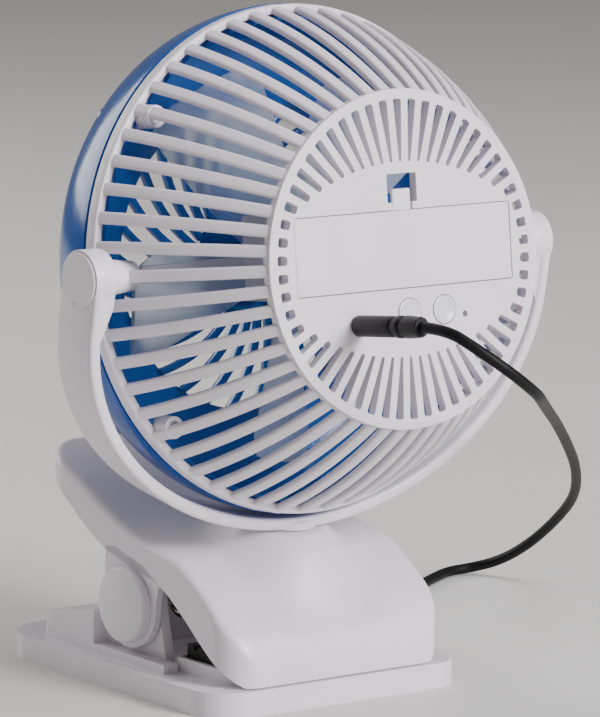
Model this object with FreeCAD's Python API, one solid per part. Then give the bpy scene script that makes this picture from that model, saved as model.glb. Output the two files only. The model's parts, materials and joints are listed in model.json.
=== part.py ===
import FreeCAD, Part
import math
import os

# A clip-on desk fan. Millimetres, +Z up. The origin is the centre of the base's underside.
# The fan blows towards -Y, its rear plate faces +Y, and the clip's mouth opens towards +Y.

V = FreeCAD.Vector
X = V(1, 0, 0)
Y = V(0, 1, 0)
Z = V(0, 0, 1)

# Driving sizes: the clip's base
base_width = 95.0
base_depth = 113.0
base_height = 7.7
base_front_radius = 13.0
base_rear_radius = 17.0
base_wall = 2.2
pad_sheet = 0.8
cover_thickness = 1.8
riser_rear = -39.0
riser_front = -12.0
riser_half_width = 42.5
riser_low = 15.4
riser_high = 20.6
tray_height = 12.0
tray_rear = 20.0
tray_front = 51.0
tray_wall = 1.6
sill_height = 10.3

# Driving sizes: the clip's hinge and jaw
hinge_y = 3.1
hinge_z = 24.9
pin_radius = 2.0
cap_radius = 11.4
cap_thickness = 3.4
lug_radius = 13.2
ear_radius = 11.0
ear_thickness = 3.4
jaw_half_width = 40.5
jaw_wall = 2.6
jaw_front_radius = 11.0
jaw_rear_radius = 14.0
jaw_front = 55.2
jaw_rear = -45.5
lip_clearance = 0.4
pad_top = 15.4
pad_gap = 0.3
pad_half_width = 33.0

# Driving sizes: the yoke and its swivel
pivot_y = 37.7
pivot_z = 130.2
yoke_lean = 9.0
yoke_half_span = 84.6
yoke_drop = 14.0
yoke_radius = 81.5
yoke_thickness = 3.8
yoke_width = 17.4
arm_boss_thickness = 7.2
arm_boss_radius = 8.7
pivot_screw_radius = 2.5
arm_cap_thickness = 1.2
seat_radius = 12.5
seat_gap = 0.3
post_radius = 6.0
post_length = 14.5

# Driving sizes: the head. In the head's own frame x is across, y is to the rear and z is up.
head_pitch = 7.18
rim_radius = 75.2
rim_front = -10.5
rim_rear = -6.0
rim_thickness = 2.8
rib_count = 54
rib_width = 3.6
rib_depth = 2.2
rib_inset = 0.6
cage_radius = 155.1
cage_centre_r = -72.45
cage_centre_y = -53.6
plate_radius = 49.05
plate_face = 42.8
plate_thickness = 3.0
slot_outer_radius = 45.0
slot_bar_width = 2.4
panel_half_width = 42.7
panel_arc_radius = 69.0
panel_arc_drop = 41.0
screw_angle = 40.0
screw_circle = 69.9
screw_boss_radius = 3.7
shell_front = -37.4
shell_thickness = 2.2

# Driving sizes: battery, door and electronics
door_width = 79.4
door_height = 22.8
door_z = 2.95
door_thickness = 1.6
cell_radius = 9.2
cell_length = 65.2
cell_y = 29.6
tray_depth = 21.0
button_x = (-0.5, -13.3)
button_z = -15.5
button_radius = 4.2
button_travel = 0.5
led_x = -20.9
led_z = -17.3
jack_x = 18.5
jack_z = -17.8
board_y = 33.2
board_thickness = 1.6

# Driving sizes: motor, blade and lead
motor_radius = 13.8
motor_length = 19.5
motor_front = -2.0
shaft_radius = 1.15
hub_radius = 13.0
blade_count = 5
blade_radius = 60.0
blade_y = -13.5
front_bar_count = 30
front_opening_radius = 45.0
front_hub_radius = 17.0
cord_diameter = 3.3
coil_radius = 16.5
coil_bundle = 4.4
coil_x = -82.0
coil_y = -71.5

# Named clearances
fit = 0.2
running = 0.06
screw_fit = 0.05

# The lead's three free stretches, from the plug's sleeve down to the coil on the table
upper_route = [
    V(18.5, 111.45, 121.55), V(18.4, 122.2, 122.2), V(13.2, 131.4, 118.8), V(3.2, 136.8, 112.3),
    V(-8.4, 134.2, 105.3), V(-19.5, 123.0, 100.5), V(-34.0, 104.5, 96.5), V(-44.5, 93.5, 93.0),
]
middle_route = [
    V(-44.5, 93.5, 93.0), V(-55.0, 82.5, 89.5), V(-79.0, 58.5, 79.0), V(-106.0, 32.0, 65.5),
    V(-118.0, 19.5, 58.75),
]
lower_route = [
    V(-118.0, 19.5, 58.75), V(-130.0, 7.0, 52.0), V(-149.0, -15.0, 39.0), V(-159.0, -31.0, 27.5),
    V(-162.5, -45.0, 17.8), V(-161.5, -57.8, 9.8), V(-154.5, -68.0, 4.0), V(-142.5, -71.0, 1.8),
    V(-129.5, -65.5, 1.8), V(-116.0, -57.5, 1.8), V(-102.0, -53.5, 2.2), V(-89.5, -57.0, 4.2),
]

lean = FreeCAD.Rotation(X, -yoke_lean)
pitch = FreeCAD.Rotation(X, head_pitch)
pivot = V(0, pivot_y, pivot_z)
up_yoke = lean.multVec(Z)


def save(name, shape):
    """Write one sub-part and print what it is."""
    solids = len(shape.Solids)
    print(f"{name}: {solids} solids, {shape.Volume / 1000:.2f} cm3, valid {shape.isValid()}")
    shape.exportStep(f"parts/{name}.step")


def box(x0, x1, y0, y1, z0, z1):
    return Part.makeBox(x1 - x0, y1 - y0, z1 - z0, V(x0, y0, z0))


def rod(radius, start, end):
    return Part.makeCylinder(radius, (end - start).Length, start, end - start)


def cone(radius_start, radius_end, start, end):
    return Part.makeCone(radius_start, radius_end, (end - start).Length, start, end - start)


def group(shapes):
    return Part.makeCompound(shapes)


def joined(shapes):
    return shapes[0].multiFuse(shapes[1:]).removeSplitter()


def both_sides(shape):
    """The shape and its mirror image across the X = 0 plane."""
    return [shape, shape.mirror(V(0, 0, 0), X)]


def in_head(shape):
    """Carry a shape from the head's own frame to its place."""
    return shape.transformed(FreeCAD.Placement(pivot, pitch).toMatrix())


def in_yoke(shape):
    """Carry a shape from the yoke's own frame to its place."""
    return shape.transformed(FreeCAD.Placement(pivot, lean).toMatrix())


def turned(shape, degrees):
    """Turn a shape of the head about the fan's axis."""
    return shape.transformed(FreeCAD.Placement(V(0, 0, 0), FreeCAD.Rotation(Y, degrees)).toMatrix())


def polygon_yz(points, x):
    return Part.Face(Part.makePolygon([V(x, y, z) for y, z in points + points[:1]]))


def rounded_outline(half_width, rear, front, rear_radius, front_radius, z):
    """A plan outline with round corners, as a face at height z."""
    corners = [
        (half_width, front, front_radius, 0),
        (-half_width, front, front_radius, 90),
        (-half_width, rear, rear_radius, 180),
        (half_width, rear, rear_radius, 270),
    ]
    ends = []
    edges = []
    for x, y, radius, start in corners:
        centre = V(x - math.copysign(radius, x), y - math.copysign(radius, y - (rear + front) / 2), z)
        arc = [
            centre + V(math.cos(math.radians(a)), math.sin(math.radians(a)), 0) * radius
            for a in (start, start + 45, start + 90)
        ]
        if ends:
            edges.append(Part.makeLine(ends[-1], arc[0]))
        edges.append(Part.Arc(*arc).toShape())
        ends.append(arc[2])
        if len(ends) == 1:
            first = arc[0]
    edges.append(Part.makeLine(ends[-1], first))
    return Part.Face(Part.Wire(edges))


def slab(half_width, rear, front, rear_radius, front_radius, low, high):
    face = rounded_outline(half_width, rear, front, rear_radius, front_radius, low)
    return face.extrude(V(0, 0, high - low))


# ---------------------------------------------------------------- clip base

def base_corner_posts():
    """Where the four screws hold the bottom cover."""
    half_x = base_width / 2 - 12.0
    half_y = base_depth / 2 - 13.0
    return [V(sx * half_x, sy * half_y, 0) for sx in (-1, 1) for sy in (-1, 1)]


def base_shell():
    half_x = base_width / 2
    half_y = base_depth / 2
    plate = slab(half_x, -half_y, half_y, base_rear_radius, base_front_radius, 0, base_height)
    hollow = slab(
        half_x - base_wall, base_wall - half_y, half_y - base_wall,
        base_rear_radius - base_wall, base_front_radius - base_wall, -1, base_height - base_wall,
    )
    posts = [rod(3.2, p + Z * (pad_sheet + cover_thickness), p + Z * base_height) for p in base_corner_posts()]
    holes = [rod(1.25 + screw_fit, p, p + Z * (base_height - 1.2)) for p in base_corner_posts()]

    profile = [
        (riser_rear, base_height - 0.5), (riser_rear, riser_low),
        (riser_front, riser_high), (riser_front, base_height - 0.5),
    ]
    riser = polygon_yz(profile, -riser_half_width).extrude(X * (2 * riser_half_width))
    upright = [e for e in riser.Edges if abs(e.tangentAt(e.FirstParameter).z) > 0.99 and e.CenterOfMass.y < riser_rear + 1]
    riser = riser.makeFillet(4.0, upright)
    inner = [
        (riser_rear + base_wall, -1), (riser_rear + base_wall, riser_low - base_wall),
        (riser_front - base_wall, riser_high - base_wall), (riser_front - base_wall, -1),
    ]
    riser_hollow = polygon_yz(inner, base_wall - riser_half_width).extrude(X * (2 * (riser_half_width - base_wall)))
    lug_space = lug_radius + 0.9
    relief = both_sides(
        rod(lug_space, V(ear_outer() + 0.2, hinge_y, hinge_z), V(riser_half_width + 5, hinge_y, hinge_z))
    )

    sill = box(ear_outer() - 0.2, riser_half_width, riser_front - 1, tray_rear + 4, base_height - 0.5, sill_height)
    ear = ear_blank()
    bore = rod(pin_radius, V(-60, hinge_y, hinge_z), V(60, hinge_y, hinge_z))

    tray_half = jaw_half_width - jaw_wall - 1.6
    tray = slab(tray_half, tray_rear, tray_front, 3, 9, base_height - 0.5, tray_height)
    tray_inside = slab(
        tray_half - tray_wall, tray_rear + tray_wall, tray_front - tray_wall, 1.4, 7.4, base_height, tray_height + 1,
    )
    solid = joined([plate, riser] + both_sides(sill) + both_sides(ear) + [tray])
    solid = solid.cut(hollow).cut(riser_hollow).cut(tray_inside)
    solid = joined([solid] + posts)
    for tool in relief + holes + [bore]:
        solid = solid.cut(tool)
    return solid


def ear_outer():
    """Outer face of the base's hinge ears, inside the jaw's cheeks."""
    return jaw_half_width - jaw_wall - 0.5


def ear_blank():
    inner = ear_outer() - ear_thickness
    foot = [
        (riser_front - 2, base_height - 0.5), (hinge_y - ear_radius, hinge_z),
        (hinge_y + ear_radius, hinge_z), (hinge_y + ear_radius + 4.5, base_height - 0.5),
    ]
    web = polygon_yz(foot, inner).extrude(X * ear_thickness)
    lug = rod(ear_radius, V(inner, hinge_y, hinge_z), V(ear_outer(), hinge_y, hinge_z))
    return web.fuse(lug)


def base_cover():
    inset = base_wall + fit
    half_x = base_width / 2 - inset
    half_y = base_depth / 2 - inset
    cover = slab(
        half_x, -half_y, half_y, base_rear_radius - inset, base_front_radius - inset,
        pad_sheet, pad_sheet + cover_thickness - 0.02,
    )
    for p in base_corner_posts():
        cover = cover.cut(rod(1.4, p, p + Z * 6))
        cover = cover.cut(rod(2.6, p, p + Z * (pad_sheet + 1.0)))
    return cover


def base_pad():
    inset = base_wall + fit + 0.4
    half_x = base_width / 2 - inset
    half_y = base_depth / 2 - inset
    return slab(
        half_x, -half_y, half_y, base_rear_radius - inset, base_front_radius - inset, 0, pad_sheet - 0.02,
    )


def cover_screws():
    screws = []
    for p in base_corner_posts():
        head = rod(2.4, p + Z * (pad_sheet + 0.1), p + Z * (pad_sheet + 0.95))
        shank = rod(1.25, p + Z * (pad_sheet + 0.9), p + Z * (base_height - 1.6))
        screws.append(head.fuse(shank))
    return group(screws)


def lower_jaw_pad():
    rear = tray_rear + tray_wall + fit
    front = tray_front - tray_wall - fit
    pad = slab(pad_half_width, rear, front, 1.2, 6.5, base_height + 0.02, pad_top)
    groove_step = 4.4
    count = 5
    for i in range(count):
        y = rear + 4.0 + i * groove_step
        pad = pad.cut(box(-pad_half_width - 1, pad_half_width + 1, y, y + 1.6, pad_top - 1.2, pad_top + 1))
    return pad


# ---------------------------------------------------------------- clip jaw and hinge

def jaw_top_points():
    """The upper jaw's top line in side view, from the lever's end over the crest to the lip."""
    return [
        (jaw_rear, 67.2), (-23.5, 58.0), (-4.8, 49.3), (8.0, 45.0), (18.0, 43.3), (28.0, 40.6),
        (41.4, 32.6), (50.4, 24.6), (54.3, 18.6), (jaw_front, 15.0),
    ]


def jaw_under_points():
    """The lower edge of the jaw's side walls, from the lip back to the lever's end."""
    return [(49.0, 12.3), (38.8, 19.3), (28.3, 27.1), (17.0, 33.4), (-8.5, 39.2), (-19.2, 44.6), (-31.0, 52.2)]


def curve_yz(points, x):
    curve = Part.BSplineCurve()
    curve.interpolate([V(x, y, z) for y, z in points])
    return curve


def inner_line(points, depth):
    """The points of a curve moved inwards, square to it."""
    curve = curve_yz(points, 0)
    moved = []
    for y, z in points:
        way = curve.tangent(curve.parameter(V(0, y, z)))[0]
        moved.append((y + way.z * depth, z - way.y * depth))
    return moved


def jaw_block(depth):
    """Everything under the jaw's top line, moved inwards by depth."""
    x = -jaw_half_width - 5
    points = jaw_top_points()
    if depth:
        points = inner_line(points, depth)
    line = curve_yz(points, x).toShape()
    first = points[0]
    last = points[-1]
    edges = [
        line,
        Part.makeLine(V(x, *last), V(x, last[0], -5)),
        Part.makeLine(V(x, last[0], -5), V(x, first[0], -5)),
        Part.makeLine(V(x, first[0], -5), V(x, *first)),
    ]
    return Part.Face(Part.Wire(edges)).extrude(X * (2 * jaw_half_width + 10))


def jaw_underside():
    """What lies below the jaw's lower edge."""
    x = -jaw_half_width - 6
    lip = base_height + lip_clearance
    points = jaw_under_points()
    ends = [(jaw_front + 4, lip), (54.0, lip)]
    line = curve_yz(points, x).toShape()
    low = -20.0
    tail = (jaw_rear - 6, 63.0)
    corners = [V(x, *points[-1]), V(x, *tail), V(x, tail[0], low), V(x, ends[0][0], low), V(x, *ends[0]), V(x, *ends[1]), V(x, *points[0])]
    edges = [line] + [Part.makeLine(a, b) for a, b in zip(corners, corners[1:])]
    return Part.Face(Part.Wire(edges)).extrude(X * (2 * jaw_half_width + 12))


def upper_jaw():
    outer_plan = slab(jaw_half_width, jaw_rear, jaw_front, jaw_rear_radius, jaw_front_radius, -2, 90)
    inner_plan = slab(
        jaw_half_width - jaw_wall, jaw_rear + jaw_wall, jaw_front - jaw_wall,
        jaw_rear_radius - jaw_wall, jaw_front_radius - jaw_wall, -3, 91,
    )
    outer = jaw_block(0).common(outer_plan).cut(jaw_underside())
    inner = jaw_block(jaw_wall).common(inner_plan)
    shell = outer.cut(inner)

    cheek_inner = jaw_half_width - jaw_wall
    web = [
        (hinge_y - 12.6, hinge_z + 4.0), (hinge_y - 12.0, 42.0), (10.0, 38.0),
        (18.5, 33.4), (hinge_y + 8.0, hinge_z - 9.0), (hinge_y, hinge_z),
    ]
    cheek = polygon_yz(web, cheek_inner).extrude(X * jaw_wall)
    cheek = cheek.fuse(rod(lug_radius, V(cheek_inner, hinge_y, hinge_z), V(jaw_half_width, hinge_y, hinge_z)))

    swivel = seat_line()
    crown = cone(seat_radius + 13.0, seat_radius, swivel(yoke_radius + 12.5), swivel(yoke_radius + seat_gap))
    crown = crown.common(jaw_block(0).fuse(rod(40, swivel(yoke_radius + 14), swivel(yoke_radius))))
    under = rod(seat_radius, swivel(yoke_radius + 5), swivel(yoke_radius + post_length))
    carrier = slab(pad_half_width - 0.5, 33.5, 49.0, 1.0, 5.0, carrier_low(), carrier_low() + 1.6)
    ribs = [box(x - 1, x + 1, 34.5, 48.5, carrier_low() + 1, 45) for x in (-27.0, 0.0, 27.0)]
    ribs = [r.common(jaw_block(jaw_wall - 0.4)) for r in ribs]

    solid = joined([shell] + both_sides(cheek) + [crown.cut(jaw_block(jaw_wall)), under, carrier] + ribs)
    solid = solid.cut(rod(post_radius + running, swivel(yoke_radius - 2), swivel(yoke_radius + post_length + 3)))
    solid = solid.cut(rod(pin_radius + running, V(-60, hinge_y, hinge_z), V(60, hinge_y, hinge_z)))
    return solid


def seat_line():
    """Points on the yoke's swivel axis, by distance below the fan's pivot."""
    return lambda s: pivot - up_yoke * s


def carrier_low():
    """Underside of the plate that carries the upper rubber pad."""
    return pad_top + pad_gap + 3.2


def upper_jaw_pad():
    return slab(pad_half_width - 0.5, 33.5, 49.0, 1.0, 5.0, pad_top + pad_gap, carrier_low() - 0.02)


def hinge_pin():
    end = jaw_half_width - 0.2
    return rod(pin_radius, V(-end, hinge_y, hinge_z), V(end, hinge_y, hinge_z))


def hinge_caps():
    face = jaw_half_width + 0.02
    cap = rod(cap_radius, V(face, hinge_y, hinge_z), V(face + cap_thickness, hinge_y, hinge_z))
    rim = [e for e in cap.Edges if abs(e.CenterOfMass.x - face - cap_thickness) < 0.01]
    return group(both_sides(cap.makeFillet(0.9, rim)))


def clamp_spring():
    """The torsion spring on the hinge pin: two wound sleeves and the bow that presses the lever."""
    wire = 1.1
    sleeve = rod(6.4, V(9, hinge_y, hinge_z), V(24, hinge_y, hinge_z))
    sleeve = sleeve.cut(rod(4.2, V(8, hinge_y, hinge_z), V(25, hinge_y, hinge_z)))
    low_end = V(23.0, riser_front - 14.0, riser_high - 1.3)
    lower = rod(wire, V(23.0, hinge_y - 4.0, hinge_z - 0.6), low_end)
    high_end = V(10.0, -20.0, 51.4)
    upper = rod(wire, V(10.0, hinge_y, hinge_z + 5.3), high_end)
    half = joined([sleeve, lower, upper])
    bow = rod(wire, high_end, V(-high_end.x, high_end.y, high_end.z))
    return joined(both_sides(half) + [bow])


# ---------------------------------------------------------------- yoke

def yoke_blank(span, radius, y0, y1):
    """The solid under one elliptical outline: straight sides, then half an ellipse."""
    steps = 24
    points = []
    for i in range(steps + 1):
        a = math.pi * i / steps
        points.append(V(span * math.cos(a), y0, -yoke_drop - (radius - yoke_drop) * math.sin(a)))
    curve = Part.BSplineCurve()
    curve.interpolate(points, InitialTangent=V(0, 0, -1), FinalTangent=V(0, 0, 1))
    edges = [
        curve.toShape(),
        Part.makeLine(points[-1], V(-span, y0, 0)),
        Part.makeLine(V(-span, y0, 0), V(span, y0, 0)),
        Part.makeLine(V(span, y0, 0), points[0]),
    ]
    return Part.Face(Part.Wire(edges)).extrude(V(0, y1 - y0, 0))


def yoke():
    half = yoke_width / 2
    outer = yoke_blank(yoke_half_span, yoke_radius, -half, half)
    inner = yoke_blank(yoke_half_span - yoke_thickness, yoke_radius - yoke_thickness, -half - 1, half + 1)
    band = outer.cut(inner)
    boss_inner = yoke_half_span - arm_boss_thickness
    boss = rod(arm_boss_radius, V(boss_inner, 0, 0), V(yoke_half_span, 0, 0))
    side_view = [
        (boss_inner, 1.0), (boss_inner, -6.5), (yoke_half_span - yoke_thickness, -16.0),
        (yoke_half_span - 0.5, -16.0), (yoke_half_span - 0.5, 1.0),
    ]
    corners = [V(x, 0.6 - half, z) for x, z in side_view]
    gusset = Part.Face(Part.makePolygon(corners + corners[:1])).extrude(V(0, 2 * half - 1.2, 0))
    seat = rod(seat_radius - 2.5, V(0, 0, -yoke_radius), V(0, 0, -yoke_radius + 2.0))
    post = rod(post_radius, V(0, 0, -yoke_radius - post_length), V(0, 0, -yoke_radius + 3.0))
    solid = joined([band, seat, post] + both_sides(boss) + both_sides(gusset))
    for side in both_sides(rod(pivot_screw_radius + running, V(60, 0, 0), V(90, 0, 0))):
        solid = solid.cut(side)
    for side in both_sides(rod(5.2, V(yoke_half_span - 3.4, 0, 0), V(90, 0, 0))):
        solid = solid.cut(side)
    for side in both_sides(rod(arm_boss_radius - 0.6, V(yoke_half_span - 0.6, 0, 0), V(90, 0, 0))):
        solid = solid.cut(side)
    solid = solid.cut(rod(1.5 + screw_fit, V(0, 0, -yoke_radius - post_length - 1), V(0, 0, -yoke_radius + 1.5)))
    return in_yoke(solid)


def arm_caps():
    start = yoke_half_span - 0.58
    end = start + arm_cap_thickness
    cap = rod(arm_boss_radius - 0.6 - 0.1, V(start, 0, 0), V(end, 0, 0))
    rim = [e for e in cap.Edges if abs(e.CenterOfMass.x - end) < 0.01]
    return in_yoke(group(both_sides(cap.makeFillet(0.4, rim))))


def swivel_washer():
    top = yoke_radius + post_length + 0.25
    ring = rod(9.5, V(0, 0, -top - 1.0), V(0, 0, -top))
    return in_yoke(ring.cut(rod(1.8, V(0, 0, -top - 2), V(0, 0, -top + 1))))


def swivel_screw():
    top = yoke_radius + post_length + 1.3
    head = rod(3.4, V(0, 0, -top - 2.0), V(0, 0, -top))
    shank = rod(1.5, V(0, 0, -top - 0.1), V(0, 0, -yoke_radius + 0.5))
    return in_yoke(head.fuse(shank))


def pivot_screws():
    """Shouldered screws that the head turns on, through the yoke's arms into the head's bosses."""
    outer = yoke_half_span - 1.2
    head = rod(4.6, V(outer - 2.0, 0, 0), V(outer, 0, 0))
    shoulder = rod(pivot_screw_radius, V(boss_outer() - 5.0, 0, 0), V(outer - 1.9, 0, 0))
    return in_yoke(group(both_sides(head.fuse(shoulder))))


def boss_outer():
    """Outer face of the head's pivot bosses, just inside the yoke's arms."""
    return yoke_half_span - arm_boss_thickness - 0.5


# ---------------------------------------------------------------- head: rear grille

def cage_r(y, inset=0.0):
    """Radius of the rear cage at a depth y, on its arc."""
    radius = cage_radius - inset
    return cage_centre_r + math.sqrt(radius * radius - (y - cage_centre_y) ** 2)


def spun(points):
    """A ring turned about the fan's axis from (radius, y) corners."""
    face = Part.Face(Part.makePolygon([V(r, y, 0) for r, y in points + points[:1]]))
    return face.revolve(V(0, 0, 0), Y, 360)


def disc(radius, y0, y1):
    return rod(radius, V(0, y0, 0), V(0, y1, 0))


def rib():
    """One rib of the rear cage, at the +X side, bent along the cage's arc."""
    start = rim_rear - 1.5
    end = plate_face - 1.2
    middle = (start + end) / 2
    outside = [V(cage_r(y, rib_inset), y, 0) for y in (start, middle, end)]
    inside = [V(cage_r(y, rib_inset + rib_depth), y, 0) for y in (end, middle, start)]
    edges = [
        Part.Arc(*outside).toShape(),
        Part.makeLine(outside[2], inside[0]),
        Part.Arc(*inside).toShape(),
        Part.makeLine(inside[2], outside[0]),
    ]
    face = Part.Face(Part.Wire(edges)).translated(V(0, 0, -rib_width / 2))
    return face.extrude(V(0, 0, rib_width))


def slot_region():
    """The open slots between the plate's bars, outside its solid middle panel."""
    low = plate_face - plate_thickness - 1
    high = plate_face + 1
    region = disc(slot_outer_radius, low, high)
    arcs = [
        rod(panel_arc_radius, V(0, low - 1, side * -panel_arc_drop), V(0, high + 1, side * -panel_arc_drop))
        for side in (-1, 1)
    ]
    panel = arcs[0].common(arcs[1]).common(disc(panel_half_width, low - 1, high + 1))
    region = region.cut(panel)
    pitch_angle = 360.0 / rib_count
    bars = [
        turned(box(20, 50, low - 1, high + 1, -slot_bar_width / 2, slot_bar_width / 2), i * pitch_angle)
        for i in range(rib_count)
    ]
    return region.cut(group(bars))


def rear_grille():
    pitch_angle = 360.0 / rib_count
    ribs = [turned(rib(), i * pitch_angle) for i in range(rib_count)]
    rim = spun([
        (rim_radius, rim_front), (rim_radius, rim_rear),
        (rim_radius - rim_thickness, rim_rear), (rim_radius - rim_thickness, rim_front),
    ])
    back = plate_face - plate_thickness
    plate = disc(plate_radius, back, plate_face)
    edge = [e for e in plate.Edges if abs(e.CenterOfMass.y - plate_face) < 0.01]
    plate = plate.makeFillet(0.8, edge)
    plate = plate.cut(slot_region())

    half_w = door_width / 2
    half_h = door_height / 2
    seat = box(-half_w, half_w, plate_face - door_thickness - 0.1, plate_face + 1, door_z - half_h, door_z + half_h)
    well = box(-half_w + 1.6, half_w - 1.6, back - 1, plate_face, door_z - half_h + 1.4, door_z + half_h - 1.4)
    top = door_z + half_h
    notch = box(-5.4, 5.4, back - 1, plate_face + 1, top + 2.1, top + 10.4)
    throat = box(-3.7, 3.7, back - 1, plate_face + 1, top - 1, top + 3)
    plate = plate.cut(seat).cut(well).cut(notch).cut(throat)
    for x in button_x:
        plate = plate.cut(rod(button_radius + fit, V(x, back - 1, button_z), V(x, plate_face + 1, button_z)))
    plate = plate.cut(rod(0.9, V(led_x, back - 1, led_z), V(led_x, plate_face + 1, led_z)))
    plate = plate.cut(rod(2.6, V(jack_x, back - 1, jack_z), V(jack_x, plate_face + 1, jack_z)))

    bosses = []
    for side in (-1, 1):
        tip = V(side * boss_outer(), 0, 0)
        root = V(side * 66.0, 0, 0)
        bosses.append(cone(5.6, 4.2, tip, root))
    screw_pads = [
        turned(rod(screw_boss_radius, V(screw_circle, rim_front + 0.02, 0), V(screw_circle, 1.5, 0)), a)
        for a in screw_angles()
    ]
    board_posts = [
        rod(2.0, V(x, board_y + board_thickness + 0.02, -23.0), V(x, back + 0.5, -23.0)) for x in (-16.0, 9.0)
    ]
    solid = joined([rim, plate] + ribs + bosses + screw_pads + board_posts)
    for side in (-1, 1):
        bore = rod(pivot_screw_radius + screw_fit, V(side * 90, 0, 0), V(side * (boss_outer() - 6), 0, 0))
        solid = solid.cut(bore)
    for a in screw_angles():
        solid = solid.cut(turned(rod(1.4, V(screw_circle, -20, 0), V(screw_circle, 5, 0)), a))
        solid = solid.cut(turned(rod(2.6, V(screw_circle, -4.0, 0), V(screw_circle, 5, 0)), a))
    return in_head(solid)


def screw_angles():
    return (screw_angle, 180 - screw_angle, 180 + screw_angle, -screw_angle)


def grille_screws():
    screws = []
    for a in screw_angles():
        head = rod(2.4, V(screw_circle, -3.98, 0), V(screw_circle, -2.4, 0))
        shank = rod(1.3, V(screw_circle, -20.0, 0), V(screw_circle, -3.9, 0))
        screws.append(turned(head.fuse(shank), a))
    return in_head(group(screws))


# ---------------------------------------------------------------- head: front grille

def shell_line(inset):
    """Side view of the blue shell's wall, from its joint with the rear grille round to the front."""
    outside = [
        (75.4, rim_front - 0.3), (75.3, -14.0), (74.4, -20.0), (72.3, -26.5), (69.0, -32.0), (63.0, -36.2),
        (57.0, shell_front),
    ]
    return [(r - inset * (0.9 if r > 70 else 0.5), y + (0 if r > 70 else inset)) for r, y in outside]


def front_grille():
    wall = spun(shell_line(0) + shell_line(shell_thickness)[::-1])
    lip_outer = rim_radius - rim_thickness - 0.3
    spigot = spun([
        (lip_outer, rim_front + 3.5), (lip_outer - 1.5, rim_front + 3.5),
        (lip_outer - 1.5, rim_front - 2.0), (lip_outer + 1.5, rim_front - 2.0), (lip_outer, rim_front - 0.4),
    ])
    thickness = 3.0
    hub = disc(front_hub_radius, shell_front, shell_front + thickness)
    outer_ring = disc(62.0, shell_front + 0.3, shell_front + thickness).cut(disc(front_opening_radius, -60, 0))
    bars = [turned(front_bar(thickness), i * 360.0 / front_bar_count) for i in range(front_bar_count)]
    posts = [
        turned(rod(3.3, V(screw_circle - 0.6, -26.0, 0), V(screw_circle - 0.6, rim_front - 0.3, 0)), a)
        for a in screw_angles()
    ]
    grid = joined([hub, outer_ring] + bars)
    shell = wall.fuse(spigot)
    for a in screw_angles():
        shell = shell.cut(turned(rod(screw_boss_radius + 0.15, V(screw_circle, rim_front, 0), V(screw_circle, 5, 0)), a))
    shell = shell.multiFuse(posts)
    for a in screw_angles():
        shell = shell.cut(turned(rod(1.3 + screw_fit, V(screw_circle, -21.0, 0), V(screw_circle, 5, 0)), a))
    return in_head(shell.fuse(grid))


def front_bar(thickness):
    """One swept bar of the front grille, between the hub disc and the outer ring."""
    half = 1.1
    inner = 15.5
    outer = 58.0
    sweep = math.radians(38)
    ends = [(inner, 0.0), ((inner + outer) / 2, sweep * 0.62), (outer, sweep)]
    left = []
    right = []
    for radius, angle in ends:
        shift = half / radius
        left.append(V(radius * math.cos(angle - shift), shell_front + 0.2, radius * math.sin(angle - shift)))
        right.append(V(radius * math.cos(angle + shift), shell_front + 0.2, radius * math.sin(angle + shift)))
    edges = [
        Part.Arc(*left).toShape(),
        Part.makeLine(left[2], right[2]),
        Part.Arc(*right[::-1]).toShape(),
        Part.makeLine(right[0], left[0]),
    ]
    return Part.Face(Part.Wire(edges)).extrude(V(0, thickness - 0.4, 0))


def front_badge():
    plain = disc(14.5, shell_front - 1.3, shell_front - 0.02)
    return in_head(plain)


# ---------------------------------------------------------------- head: battery and door

def battery_tray():
    wall = 1.4
    half_w = door_width / 2 + 0.4
    half_h = door_height / 2 + 0.8
    rear = plate_face - plate_thickness - 0.02
    front = rear - tray_depth
    outer = box(-half_w, half_w, front, rear, door_z - half_h, door_z + half_h)
    inner = box(-half_w + wall, half_w - wall, front + wall, rear + 1, door_z - half_h + wall, door_z + half_h - wall)
    return in_head(outer.cut(inner))


def battery_cell():
    half = cell_length / 2
    body = rod(cell_radius, V(-half, cell_y, door_z), V(half - 1.5, cell_y, door_z))
    nipple = rod(2.8, V(half - 1.6, cell_y, door_z), V(half, cell_y, door_z))
    return in_head(body.fuse(nipple))


def battery_contacts():
    half = cell_length / 2
    limit = door_width / 2 + 0.4 - 1.4 - 0.05
    plate = box(limit - 0.6, limit, cell_y - 5, cell_y + 5, door_z - 5, door_z + 5)
    stud = rod(2.2, V(half + 0.05, cell_y, door_z), V(limit - 0.5, cell_y, door_z))
    spring = cone(5.0, 3.2, V(-limit + 0.5, cell_y, door_z), V(-half - 0.05, cell_y, door_z))
    return in_head(group([plate.fuse(stud), plate.mirror(V(0, 0, 0), X).fuse(spring)]))


def battery_door():
    half_w = door_width / 2 - fit
    half_h = door_height / 2 - fit
    face = plate_face - 0.1
    top = door_z + half_h
    panel = box(-half_w, half_w, face - door_thickness + 0.1, face, door_z - half_h, top)
    tongue = box(-3.3, 3.3, face - 1.5, face - 0.3, top - 0.5, top + 6.2)
    hook = box(-3.3, 3.3, face - 2.7, face - 0.4, top + 5.0, top + 6.2)
    return in_head(joined([panel, tongue, hook]))


# ---------------------------------------------------------------- head: electronics

def circuit_board():
    board = box(-25.0, 12.6, board_y, board_y + board_thickness, -25.5, -10.6)
    for x in (-16.0, 9.0):
        board = board.cut(rod(1.1, V(x, board_y - 1, -23.0), V(x, board_y + 4, -23.0)))
    return in_head(board)


def board_screws():
    screws = []
    for x in (-16.0, 9.0):
        head = rod(2.0, V(x, board_y - 1.3, -23.0), V(x, board_y - 0.02, -23.0))
        screws.append(head.fuse(rod(1.0, V(x, board_y - 0.1, -23.0), V(x, board_y + board_thickness - 0.02, -23.0))))
    return in_head(group(screws))


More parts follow.
